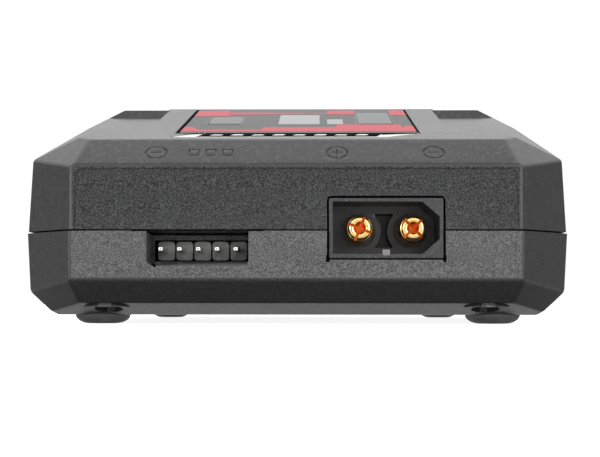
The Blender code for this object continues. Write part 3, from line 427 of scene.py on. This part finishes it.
def ink(name, points, material, top, slot="overlay", body="case"):
    """A flat closed outline in x and v millimetres on the panel, whose face is at height top."""
    curve = bpy.data.curves.new(name, "CURVE")
    curve.dimensions = "2D"
    curve.fill_mode = "BOTH"
    curve.extrude = INK * MM / 2
    line = curve.splines.new("POLY")
    line.points.add(len(points) - 1)
    for point, (x, v) in zip(line.points, points):
        point.co = (x * MM, v * MM, 0, 1)
    line.use_cyclic_u = True
    draft = link(name + "_outline", curve)
    mesh = bpy.data.meshes.new_from_object(draft)
    bpy.data.objects.remove(draft)
    slope = Matrix((Vector((1, 0, 0)), PANEL_UP, PANEL_OUT)).transposed().to_4x4()
    mesh.transform(slope @ Matrix.Translation((0, 0, top - INK * MM / 2)))
    bm = bmesh.new()
    bm.from_mesh(mesh)
    bmesh.ops.remove_doubles(bm, verts=bm.verts, dist=1e-6)
    bmesh.ops.recalc_face_normals(bm, faces=bm.faces)
    bm.to_mesh(mesh)
    bm.free()
    mesh.materials.clear()
    mesh.materials.append(material)
    piece = link(name, mesh)
    ride(piece, body, slot)
    return piece


skin("panel_overlay", film_black)
film_x, film_v0, film_v1 = film_high[0] / MM, film_low[1] / MM, film_high[1] / MM
film_top = film_high[2] + INK * MM
print("film from v", round(film_v0, 2), "to", round(film_v1, 2))

# %% [markdown]
# ### The red bands
# The front band is thin on the left, where it ends in a small wedge, and rises in two steps to its
# full height on the right, with one narrow notch. The rear band is a thick wedge at the left, a thin
# line past the windows, and two short blocks on either side of the long key. Both blocks stop short
# of the key's opening, so that no print hangs over it when the key is pressed.

# %% Lay the red inks


def red(name, *points):
    """One red outline in x from the middle and v from the film's front edge, in millimetres."""
    ink(name, [(x, film_v0 + v) for x, v in points], ink_red, film_top)


edge_x = film_x - 0.15
front, line_top, middle_top, tall_top = 1.5, 3.9, 7.2, 10.85
red("ink_front_band", (-edge_x, front), (edge_x, front), (edge_x, 7.8), (edge_x - 0.6, 9.2), (16.1, 9.2),
    (15.6, 5.2), (15.5, tall_top), (6.0, tall_top), (5.4, middle_top), (-5.2, middle_top),
    (-5.5, line_top), (-14.6, line_top), (-16.0, 7.8), (-edge_x, 8.0))
rear = film_v1 - film_v0
red("ink_rear_wedge", (-edge_x, rear - 9.9), (-11.2, rear - 9.9), (-11.9, rear - 1.3),
    (-edge_x, rear - 1.3))
red("ink_rear_line", (-11.76, rear - 7.6), (4.5, rear - 6.3), (4.5, rear - 5.1), (-11.76, rear - 4.1))
red("ink_rear_block", (4.5, rear - 7.4), (9.0, rear - 7.4), (9.0, rear - 1.2), (4.5, rear - 1.2))
red("ink_rear_corner", (14.7, rear - 8.5), (edge_x, rear - 8.5), (edge_x, rear - 1.0), (14.7, rear - 1.0))
# Two matte black strips along the film's side edges are painted shade: the dark lines where the film's
# edges meet the case.
for side, wide in ((-1, 0.45), (1, 0.25)):
    outer, inner = side * (film_x - 0.02), side * (film_x - wide)
    ink(f"film_border_{side}", [(outer, film_v0 + 0.3), (inner, film_v0 + 0.3), (inner, film_v1 - 0.1),
                                (outer, film_v1 - 0.1)], ink_black, film_top + INK * MM)
print("five red inks and two black borders")

# %% [markdown]
# ### The nameplate
# In front of the film lies a slim white plate whose ends are cut on the slant. It carries no name
# here. A long black block fills its middle, with a row of small white wedges left open in it, and a
# black stroke runs out to each end. The wedges follow one rule, so a loop draws them.

# %% Make the nameplate
plate_low, plate_high = panel_extent("nameplate")
skin("nameplate", plate_white)
plate_v0, plate_v1 = plate_low[1] / MM, plate_high[1] / MM
plate_top = plate_high[2] + INK * MM


def on_plate(name, material, layer, *points):
    """An ink on the nameplate, in x from the middle and v from the plate's front edge."""
    outline = [(x, plate_v0 + v) for x, v in points]
    ink(name, outline, material, plate_top + layer * INK * MM * 1.5, slot="nameplate")


plate_v = plate_v1 - plate_v0
top_v = plate_v - 0.1
on_plate("plate_block", ink_black, 0, (-14.2, 0.2), (11.2, 0.2), (12.4, top_v), (-13.2, top_v))
on_plate("plate_stroke_left", ink_black, 0, (-16.6, 2.6), (-13.4, plate_v - 1.0), (-13.4, top_v),
         (-15.2, plate_v - 0.5))
on_plate("plate_stroke_right", ink_black, 0, (12.0, plate_v - 1.9), (17.2, plate_v - 0.5), (17.2, top_v),
         (12.2, top_v))
WEDGES, WEDGE_STEP, WEDGE_WIDE = 8, 2.95, 1.9
for number in range(WEDGES):
    x = -12.4 + WEDGE_STEP * number
    low, high = 1.4, 2.4 + 0.25 * (number % 2)
    on_plate(f"plate_wedge_{number}", plate_white, 1, (x, low), (x + WEDGE_WIDE - 0.3, low),
             (x + WEDGE_WIDE, high - 0.3), (x + WEDGE_WIDE - 0.5, high), (x + 0.5, high))
print(WEDGES, "wedges on the nameplate")

# %% [markdown]
# ## Keys and windows
# Both keys and both windows are pale mouldings that fill their openings with a fine gap. The keys
# keep a soft edge that a finger can feel. They ride on their own bodies, so they sink when pressed.

# %% Skin the keys and windows
skin("current_key", key_grey, "current_key", 0.12)
skin("type_key", key_grey, "type_key", 0.12)
for window in ("status_window", "side_window"):
    skin(window, window_milk, width=0.08)
print("two keys and two windows")

# %% [markdown]
# ### The film's clear patches and key frames
# The film is clear over the windows, so a milky patch closes the gap around each. Around each key a
# narrow pale frame is printed on the opening's edge, just clear of the key, so it never rubs.

# %% Print the patches and the frames
flange = 0.8  # how far the hidden flange of a key or window stands out, in millimetres


def mouth(node):
    """The visible x and v limits of a key or window, without its flange, in millimetres."""
    low, high = panel_extent(node)
    return (low[0] / MM + flange, high[0] / MM - flange, low[1] / MM + flange, high[1] / MM - flange)


for window in ("status_window", "side_window"):
    x0, x1, v0, v1 = mouth(window)
    reach = 0.22
    ink(f"{window}_patch", [(x0 - reach, v0 - reach), (x1 + reach, v0 - reach), (x1 + reach, v1 + reach),
                            (x0 - reach, v1 + reach)], window_milk, film_top)
for key in ("current_key", "type_key"):
    x0, x1, v0, v1 = mouth(key)
    near, far = 0.05, 0.24
    strips = (((x0 - far, v0 - far), (x1 + far, v0 - near)),
              ((x0 - far, v1 + near), (x1 + far, v1 + far)),
              ((x0 - far, v0 - near), (x0 - near, v1 + near)),
              ((x1 + near, v0 - near), (x1 + far, v1 + near)))
    for side, corners in enumerate(strips):
        (a, c), (b, d) = corners
        ink(f"{key}_frame_{side}", [(a, c), (b, c), (b, d), (a, d)], key_grey, film_top)
print("patches and frames printed")

# %% [markdown]
# ## What repeats: Geometry Nodes
# The header's five ways, the four screws and the four feet are each one shape set down again and
# again. Two small node trees do that: one lays copies in a row, the other on the corners of a
# rectangle. Their inputs are named, so each use is a set of sizes, and each tree ends by making the
# copies real and giving them their material.

# %% Build the two repeating trees


def start_tree(name, inputs):
    tree = bpy.data.node_groups.new(name, "GeometryNodeTree")
    tree.interface.new_socket("Geometry", in_out="INPUT", socket_type="NodeSocketGeometry")
    for label, kind in inputs.items():
        tree.interface.new_socket(label, in_out="INPUT", socket_type=kind)
    tree.interface.new_socket("Geometry", in_out="OUTPUT", socket_type="NodeSocketGeometry")
    return tree, tree.nodes.new("NodeGroupInput"), tree.nodes.new("NodeGroupOutput")


def end_tree(tree, entry, leave, points):
    """Sets the incoming shape on the points, makes the copies real and gives them a material."""
    copies = tree.nodes.new("GeometryNodeInstanceOnPoints")
    real = tree.nodes.new("GeometryNodeRealizeInstances")
    dress = tree.nodes.new("GeometryNodeSetMaterial")
    tree.links.new(points, copies.inputs["Points"])
    tree.links.new(entry.outputs["Geometry"], copies.inputs["Instance"])
    tree.links.new(copies.outputs["Instances"], real.inputs["Geometry"])
    tree.links.new(real.outputs["Geometry"], dress.inputs["Geometry"])
    tree.links.new(entry.outputs["Material"], dress.inputs["Material"])
    tree.links.new(dress.outputs["Geometry"], leave.inputs["Geometry"])


row_tree, row_in, row_out = start_tree("copies_in_a_row", {
    "Count": "NodeSocketInt", "Start": "NodeSocketVector", "Step": "NodeSocketVector",
    "Material": "NodeSocketMaterial"})
row_line = row_tree.nodes.new("GeometryNodeMeshLine")
for label, socket in (("Count", "Count"), ("Start", "Start Location"), ("Step", "Offset")):
    row_tree.links.new(row_in.outputs[label], row_line.inputs[socket])
end_tree(row_tree, row_in, row_out, row_line.outputs["Mesh"])

corner_tree, corner_in, corner_out = start_tree("copies_on_corners", {
    "Span X": "NodeSocketFloat", "Span Y": "NodeSocketFloat", "Height": "NodeSocketVector",
    "Material": "NodeSocketMaterial"})
corner_grid = corner_tree.nodes.new("GeometryNodeMeshGrid")
corner_grid.inputs["Vertices X"].default_value = 2
corner_grid.inputs["Vertices Y"].default_value = 2
corner_tree.links.new(corner_in.outputs["Span X"], corner_grid.inputs["Size X"])
corner_tree.links.new(corner_in.outputs["Span Y"], corner_grid.inputs["Size Y"])
corner_lift = corner_tree.nodes.new("GeometryNodeTransform")
corner_tree.links.new(corner_grid.outputs["Mesh"], corner_lift.inputs["Geometry"])
corner_tree.links.new(corner_in.outputs["Height"], corner_lift.inputs["Translation"])
end_tree(corner_tree, corner_in, corner_out, corner_lift.outputs["Geometry"])


def repeat(name, bm, tree, material, slot, stands_for, smooth=35, **values):
    """Runs one shape through a repeating tree and keeps the result as a plain mesh."""
    bmesh.ops.recalc_face_normals(bm, faces=bm.faces)
    mesh = bpy.data.meshes.new(name)
    bm.to_mesh(mesh)
    bm.free()
    mesh.shade_smooth()
    mesh.set_sharp_from_angle(angle=math.radians(smooth))
    piece = link(name, mesh)
    step = piece.modifiers.new("repeat", "NODES")
    step.node_group = tree
    named = {item.name: item.identifier for item in tree.interface.items_tree if item.in_out == "INPUT"}
    for label, value in {**values, "Material": material}.items():
        step[named[label]] = value
    settle(piece)
    ride(piece, "case", slot, *stands_for)
    print(name, len(piece.data.polygons), "faces")
    return piece


def centre_of(node):
    low, high = (Vector(corner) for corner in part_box(node))
    return (low + high) / 2


# %% [markdown]
# ### The balance header
# Five square nylon blocks stand side by side, each with clipped corners. A square pin with a tapered
# tip runs through each. Both rows take their pitch from the two outer pins of the frame.

# %% Make the header's blocks and pins


def block(low, high):
    """A bmesh block between two corners."""
    bm = bmesh.new()
    bmesh.ops.create_cube(bm, size=1.0)
    size = [b - a for a, b in zip(low, high)]
    middle = [(a + b) / 2 for a, b in zip(low, high)]
    bm.transform(Matrix.Translation(middle) @ Matrix.Diagonal((*size, 1.0)))
    return bm


def edges_along(bm, axis):
    """The edges that run along one axis."""
    return [e for e in bm.edges if abs((e.verts[0].co - e.verts[1].co).normalized()[axis]) > 0.9]


WAYS = 5
head_low, head_high = (Vector(corner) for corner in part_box("balance_header"))
first_pin, last_pin = centre_of("balance_pin_1"), centre_of(f"balance_pin_{WAYS}")
pitch = (last_pin.x - first_pin.x) / (WAYS - 1)
pin_low, pin_high = (Vector(corner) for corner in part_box("balance_pin_1"))
pin_side = pin_high.x - pin_low.x
pin_z = pin_high.z - pin_side / 2
tile_half, tile_tall = pitch / 2 - 0.10 * MM, (head_high.z - head_low.z) / 2
tile = block((-tile_half, head_low.y, pin_z - tile_tall),
             (tile_half, head_high.y - 0.3 * MM, pin_z + tile_tall))
bmesh.ops.bevel(tile, geom=edges_along(tile, 1), offset=0.42 * MM, segments=2, affect="EDGES", profile=0.5)
rim = [e for e in tile.edges if all(abs(v.co.y - head_low.y) < 1e-6 for v in e.verts)]
bmesh.ops.bevel(tile, geom=rim, offset=0.09 * MM, segments=2, affect="EDGES", profile=0.5)
row = {"Count": WAYS, "Start": (first_pin.x, 0, 0), "Step": (pitch, 0, 0)}
repeat("header_blocks", tile, row_tree, header_black_painted_light, "black_part", ("balance_header",), **row)

pin = block((-pin_side / 2, pin_low.y, pin_z - pin_side / 2),
            (pin_side / 2, pin_high.y, pin_z + pin_side / 2))
tip = [e for e in pin.edges if all(abs(v.co.y - pin_low.y) < 1e-6 for v in e.verts)]
bmesh.ops.bevel(pin, geom=tip, offset=0.17 * MM, segments=3, affect="EDGES", profile=0.5)
pin_names = tuple(f"balance_pin_{way + 1}" for way in range(WAYS))
repeat("header_pins", pin, row_tree, tin_plate, "tin", pin_names, **row)

# %% [markdown]
# ### Screws and feet
# The case screws are pan heads with a cross in them, deep in their holes, and the feet are rubber
# domes. Each is turned from a half section. The cross is cut: a sunk face in the middle of the head
# with four arms.

# %% Make the screws and the feet


def turned(profile, steps):
    """A bmesh turned on Z from (radius, height) points that start and end on the axis."""
    bm = bmesh.new()
    line = [bm.verts.new((r, 0, z)) for r, z in profile]
    edges = [bm.edges.new(pair) for pair in zip(line, line[1:])]
    bmesh.ops.spin(bm, geom=line + edges, cent=(0, 0, 0), axis=(0, 0, 1), angle=math.tau,
                   steps=steps, use_merge=True)
    bmesh.ops.remove_doubles(bm, verts=bm.verts, dist=1e-7)
    return bm


def cut(bm, tools):
    """Takes the tools away from a shape with an exact Boolean and returns what is left."""
    body_mesh, tool_mesh = bpy.data.meshes.new("whole"), bpy.data.meshes.new("tools")
    for source, mesh in ((bm, body_mesh), (tools, tool_mesh)):
        source.normal_update()
        bmesh.ops.recalc_face_normals(source, faces=source.faces)
        source.to_mesh(mesh)
        source.free()
    whole, tool = link("whole", body_mesh), link("tools", tool_mesh)
    step = whole.modifiers.new("cut", "BOOLEAN")
    step.object = tool
    step.use_self = True
    settle(whole)
    result = bmesh.new()
    result.from_mesh(whole.data)
    for spent in (whole, tool):
        bpy.data.objects.remove(spent)
    return result


def merge(*shapes):
    """Joins bmeshes into the first of them."""
    joined = bmesh.new()
    for shape in shapes:
        mesh = bpy.data.meshes.new("part")
        shape.to_mesh(mesh)
        shape.free()
        joined.from_mesh(mesh)
    return joined


screw_low, screw_high = (Vector(corner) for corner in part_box("case_screw_1"))
head_r = (screw_high.x - screw_low.x) / 2
seat = screw_low.z + 1.5 * MM
arc = [(head_r * math.sin(a), screw_low.z + 0.6 * MM * (1 - math.cos(a))) for a in
       (math.radians(90 * k / 6) for k in range(7))]
shank = [(head_r, seat), (1.1 * MM, seat), (1.1 * MM, screw_high.z - 0.8 * MM),
         (0.4 * MM, screw_high.z), (0, screw_high.z)]
screw = turned(arc + shank, 28)
arm, half = 1.05 * MM, 0.2 * MM
cross_top = screw_low.z + 0.9 * MM
cross = merge(block((-arm, -half, screw_low.z - MM), (arm, half, cross_top)),
              block((-half, -arm, screw_low.z - MM), (half, arm, cross_top)))
screw = cut(screw, cross)
screw_spots = [centre_of(f"case_screw_{n}") for n in range(1, 5)]
span_x, span_y = (max(p[k] for p in screw_spots) - min(p[k] for p in screw_spots) for k in range(2))
repeat("case_screws", screw, corner_tree, zinc_steel, "steel", [f"case_screw_{n}" for n in range(1, 5)],
       **{"Span X": span_x, "Span Y": span_y, "Height": (0, 0, 0)})

foot_low, foot_high = (Vector(corner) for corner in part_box("foot_1"))
foot_r, flat_r, dome = (foot_high.x - foot_low.x) / 2, 1.8 * MM, 1.3 * MM
curve = [(flat_r + (foot_r - flat_r) * math.sin(a), dome * (1 - math.cos(a)))
         for a in (math.radians(90 * k / 10) for k in range(11))]
foot = turned([(0, 0)] + curve + [(foot_r, foot_high.z), (0, foot_high.z)], 48)
foot_spots = [centre_of(f"foot_{n}") for n in range(1, 5)]
span_x, span_y = (max(p[k] for p in foot_spots) - min(p[k] for p in foot_spots) for k in range(2))
repeat("rubber_feet", foot, corner_tree, foot_rubber, "rubber", [f"foot_{n}" for n in range(1, 5)],
       **{"Span X": span_x, "Span Y": span_y, "Height": (0, 0, 0)})

# %% [markdown]
# ## The power socket
# The socket's shell is glass-filled nylon, glossier than the case. Its skin keeps the frame's
# hollow, the two cut corners that stop a plug going in upside down, and the waist between the
# contacts. A fine bevel gives its rim the light line that a moulded edge has.

# %% Skin the socket
socket_low, socket_high = (Vector(corner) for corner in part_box("power_socket"))


def is_rim(face):
    """True for what faces forward at the mouth of the socket."""
    return face.center.y < socket_low.y + 0.3 * MM and face.normal.y < -0.4


skin("power_socket", nylon_black, width=0.10, other=nylon_rim, where=is_rim)
lug_x = (socket_low.x + socket_high.x) / 2
lug = block((lug_x - 0.5 * MM, socket_low.y - 0.02 * MM, socket_low.z + 0.42 * MM),
            (lug_x + 0.5 * MM, socket_low.y + 1.2 * MM, socket_low.z + 1.25 * MM))
bmesh.ops.bevel(lug, geom=lug.edges, offset=0.08 * MM, segments=2, affect="EDGES", profile=0.5)
lug_mesh = bpy.data.meshes.new("socket_lug")
lug.to_mesh(lug_mesh)
lug.free()
lug_mesh.materials.append(finish("lug_grey", (0.16, 0.16, 0.16), 0.45, 3000.0, 0.4, 0.04, 0.1, 1.6))
ride(link("socket_lug", lug_mesh), "case", "socket_plastic")

# %% [markdown]
# ### The split contacts
# Each contact is a gold-plated tube with a rounded nose, slit into four petals that spring against
# the plug, and copper shows inside it. The tube is turned from a half section and two crossing
# blades slit it as far as the nose, so the barrel behind stays whole. The left contact is turned a
# little and the right one by an eighth of a turn, as such parts are when they are pressed in. The
# bore, its floor and the walls of the slits are copper near the nose, and the rest is gold.

# %% Make the contacts


SLIT_HALF, SLIT_DEEP = 0.19 * MM, 4.6 * MM


def contact(name, node, turn):
    """One contact, with its slits turned by some degrees and laid along Y from its node's front."""
    low, high = (Vector(corner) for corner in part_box(node))
    middle = (low + high) / 2
    length, barrel = high.y - low.y, 2.05 * MM
    bore, nose_r, nose_long = 0.62 * MM, 1.62 * MM, 0.5 * MM
    half_wall, middle_r = (nose_r - bore) / 2, (nose_r + bore) / 2
    nose = [(middle_r - half_wall * math.cos(a), nose_long * (1 - math.sin(a)))
            for a in (math.radians(180 * k / 12) for k in range(13))]
    outer = nose + [
        (nose_r, 0.7 * MM), (nose_r - 0.12 * MM, 0.78 * MM), (nose_r - 0.12 * MM, 0.9 * MM),
        (nose_r + 0.06 * MM, 1.0 * MM), (barrel, 3.2 * MM), (barrel, 7.9 * MM), (1.3 * MM, 8.0 * MM),
        (1.3 * MM, length), (0, length), (0, 5.6 * MM), (bore, 5.6 * MM), nose[0]]
    shell = turned(outer, 48)
    reach = nose_r + 0.1 * MM
    blades = []
    for number in range(2):
        blade = block((-reach, -SLIT_HALF, -MM), (reach, SLIT_HALF, SLIT_DEEP))
        blade.transform(Matrix.Rotation(math.radians(turn + 90 * number), 4, "Z"))
        blades.append(blade)
    shell = cut(shell, merge(*blades))
    lay = Matrix.Translation((middle.x, low.y, middle.z)) @ Matrix.Rotation(-math.pi / 2, 4, "X")
    shell.transform(lay)
    nose_end = low.y + 0.95 * MM
    everything = shell.verts[:] + shell.edges[:] + shell.faces[:]
    bmesh.ops.bisect_plane(shell, geom=everything, plane_co=(0, nose_end, 0), plane_no=(0, 1, 0))
    mesh = bpy.data.meshes.new(name)
    bmesh.ops.recalc_face_normals(shell, faces=shell.faces)
    mesh.materials.append(gold_plate)
    mesh.materials.append(copper_core)
    for face in shell.faces:
        centre = face.calc_center_median()
        away = centre - middle
        off_axis = math.hypot(away.x, away.z)
        outward = away.x * face.normal.x + away.z * face.normal.z
        inward = off_axis > 1e-6 and outward / off_axis < -0.5
        slit = abs(face.normal.y) < 0.2 and not inward and abs(outward) < 0.75 * off_axis
        deep = face.normal.y < -0.5 and centre.y > low.y + 1.2 * MM and off_axis < nose_r
        near = centre.y < nose_end
        face.material_index = 1 if inward or deep or (slit and near) else 0
    shell.to_mesh(mesh)
    shell.free()
    mesh.shade_smooth()
    mesh.set_sharp_from_angle(angle=math.radians(40))
    piece = link(name, mesh)
    ride(piece, "case", "gold", node)
    print(name, len(mesh.polygons), "faces")


contact("contact_left", "socket_contact_left", 22)
contact("contact_right", "socket_contact_right", 45)

# %% [markdown]
# ## The mains inlet
# At the rear a two-lobed hollow takes the mains lead. Its skin gets a wider bevel, because such
# inlets have a generous lead-in, and its two pins are bright tinned rods.

# %% Skin the inlet
skin("ac_inlet", nylon_black, width=0.15)
for number in (1, 2):
    skin(f"ac_pin_{number}", tin_plate)

# %% [markdown]
# ## The pieces inside
# Little of the inside shows, only what a glance through the vents and the header's port finds. Each
# piece keeps its shape from the frame and gets a finish of its own: solder mask, ferrite, yellow
# tape, sleeved cans and bare aluminium.

# %% Dress the inside
inside = {
    "board": finish("solder_mask", (0.02, 0.15, 0.06), 0.35, 1200.0, 0.2, 0.02, 0.25, 1.4),
    "black_part": finish("epoxy_black", (0.03, 0.03, 0.03), 0.40, 1700.0, 0.4, 0.03, 0.2, 1.8),
    "ferrite": finish("ferrite_grey", (0.07, 0.07, 0.075), 0.60, 1400.0, 0.6, 0.05, 0.2, 1.5),
    "winding": finish("yellow_tape", (0.70, 0.50, 0.06), 0.35, 700.0, 0.4, 0.06, 0.15, 1.2),
    "can": finish("sleeve_blue", (0.02, 0.03, 0.10), 0.30, 900.0, 0.2, 0.02, 0.15, 1.3),
    "aluminium": finish("bare_aluminium", (0.70, 0.70, 0.72), 0.38, 1200.0, 0.4, 0.03, 0.1, 1.1,
                        metallic=1.0),
    "led": finish("milky_lamp", (0.80, 0.82, 0.80), 0.22, 1500.0, 0.1, 0.01, 0.05, 1.1),
    "fuse_glass": finish("fuse_body", (0.60, 0.62, 0.60), 0.25, 1500.0, 0.2, 0.02, 0.1, 1.1),
    "steel": zinc_steel, "tin": tin_plate,
}
dressed = 0
for name, node in nodes.items():
    if slot_of(name) in inside and not node.hide_render:
        node.data.materials.clear()
        node.data.materials.append(inside[slot_of(name)])
        dressed += 1
print(dressed, "inner pieces dressed")

# %% [markdown]
# ## Floor, light and backdrop
# The charger stands on a plain pale floor against white. Three soft lights shape it: a weak one high
# above, a little to the rear, and two stronger ones low in front, left and right, which open up the
# front face. Most of the sloping panel's pale tone is the world mirrored in it at a flat angle.

# %% Lay the floor
floor_material = bpy.data.materials.new("pale_floor")
floor_material.use_nodes = True
floor_tree = floor_material.node_tree
floor_shader = floor_tree.nodes["Principled BSDF"]
floor_shader.inputs["Roughness"].default_value = 0.9
floor_shader.inputs["Specular IOR Level"].default_value = 0.0
floor_shader.inputs["Emission Strength"].default_value = 0.9
floor_tone = noise_node(floor_tree, 9.0, 2.0)
floor_color = mix_color(floor_tree, floor_tone, (0.96, 0.96, 0.96), (0.99, 0.99, 0.99))
floor_tree.links.new(floor_color, floor_shader.inputs["Base Color"])
floor_tree.links.new(floor_color, floor_shader.inputs["Emission Color"])
floor_bm = bmesh.new()
bmesh.ops.create_grid(floor_bm, x_segments=1, y_segments=1, size=3.0)
floor_mesh = bpy.data.meshes.new("floor")
floor_bm.to_mesh(floor_mesh)
floor_bm.free()
floor_mesh.materials.append(floor_material)
floor = link("floor", floor_mesh)
floor.visible_diffuse = False
floor.visible_glossy = False

# %% [markdown]
# ### The world's brightness by height
# The eye sees plain white. The object sees a room whose brightness depends on how high a direction
# points: dark straight below, where its own shadow lies, brighter towards the lit table, dim at the
# level of the camera and bright again above. A ramp over the direction's height holds those values.
# Straight to the sides it is darker, as if cards stood there, which keeps the corner flats dark.

# %% Set the world and the lights
SIDE_CARD = 0.35  # how much of the room's light is left straight to the sides, where dark cards stand
world = bpy.data.worlds.new("white_room")
world.use_nodes = True
bpy.context.scene.world = world
sky = world.node_tree
background = sky.nodes["Background"]
direction = sky.nodes.new("ShaderNodeTexCoord")
height = sky.nodes.new("ShaderNodeSeparateXYZ")
sky.links.new(direction.outputs["Generated"], height.inputs["Vector"])
level = sky.nodes.new("ShaderNodeMapRange")
level.inputs["From Min"].default_value = -1.0
sky.links.new(height.outputs["Z"], level.inputs["Value"])
band = sky.nodes.new("ShaderNodeValToRGB")
sky.links.new(level.outputs["Result"], band.inputs["Fac"])
HEIGHTS = [(-1.0, 0.03), (-0.68, 0.08), (-0.44, 1.12), (-0.10, 1.00), (0.02, 0.50),
           (0.16, 0.35), (0.38, 1.58), (0.72, 1.60), (1.0, 0.32)]  # direction's height, brightness
while len(band.color_ramp.elements) < len(HEIGHTS):
    band.color_ramp.elements.new(0.5)
for element, (z, value) in zip(band.color_ramp.elements, HEIGHTS):
    element.position = (z + 1) / 2
    element.color = (value, value, value, 1)
aside = math_node(sky, "ABSOLUTE", height.outputs["X"])
shaded = mix_color(sky, ramp_node(sky, aside, 0.75, 1.0), (1, 1, 1), (SIDE_CARD, SIDE_CARD, SIDE_CARD))
carded = sky.nodes.new("ShaderNodeMix")
carded.data_type, carded.blend_type = "RGBA", "MULTIPLY"
carded.inputs["Factor"].default_value = 1.0
sky.links.new(band.outputs["Color"], carded.inputs[6])
sky.links.new(shaded, carded.inputs[7])
seen = sky.nodes.new("ShaderNodeLightPath")
sky.links.new(mix_color(sky, seen.outputs["Is Camera Ray"], carded.outputs[2], (1.05, 1.05, 1.05)),
              background.inputs["Color"])


def soft_light(name, at, towards, size, watts):
    """A rectangular area light at one point, turned towards another."""
    light = bpy.data.lights.new(name, "AREA")
    light.shape = "RECTANGLE"
    light.size, light.size_y = size
    light.energy = watts
    lamp = bpy.data.objects.new(name, light)
    lamp.location = at
    lamp.rotation_mode = "QUATERNION"
    lamp.rotation_quaternion = (Vector(towards) - Vector(at)).to_track_quat("-Z", "Y")
    bpy.context.scene.collection.objects.link(lamp)


soft_light("over_and_behind", (0, 0.17, 0.62), (0, 0, 0.02), (0.45, 0.35), 0.35)
soft_light("front_left", (-0.55, -0.50, 0.12), (0, 0, 0.02), (0.4, 0.3), 1.6)
soft_light("front_right", (0.40, -0.75, 0.14), (0, 0, 0.02), (0.4, 0.3), 1.85)
bpy.context.scene.view_settings.view_transform = "Standard"
print("lights set")
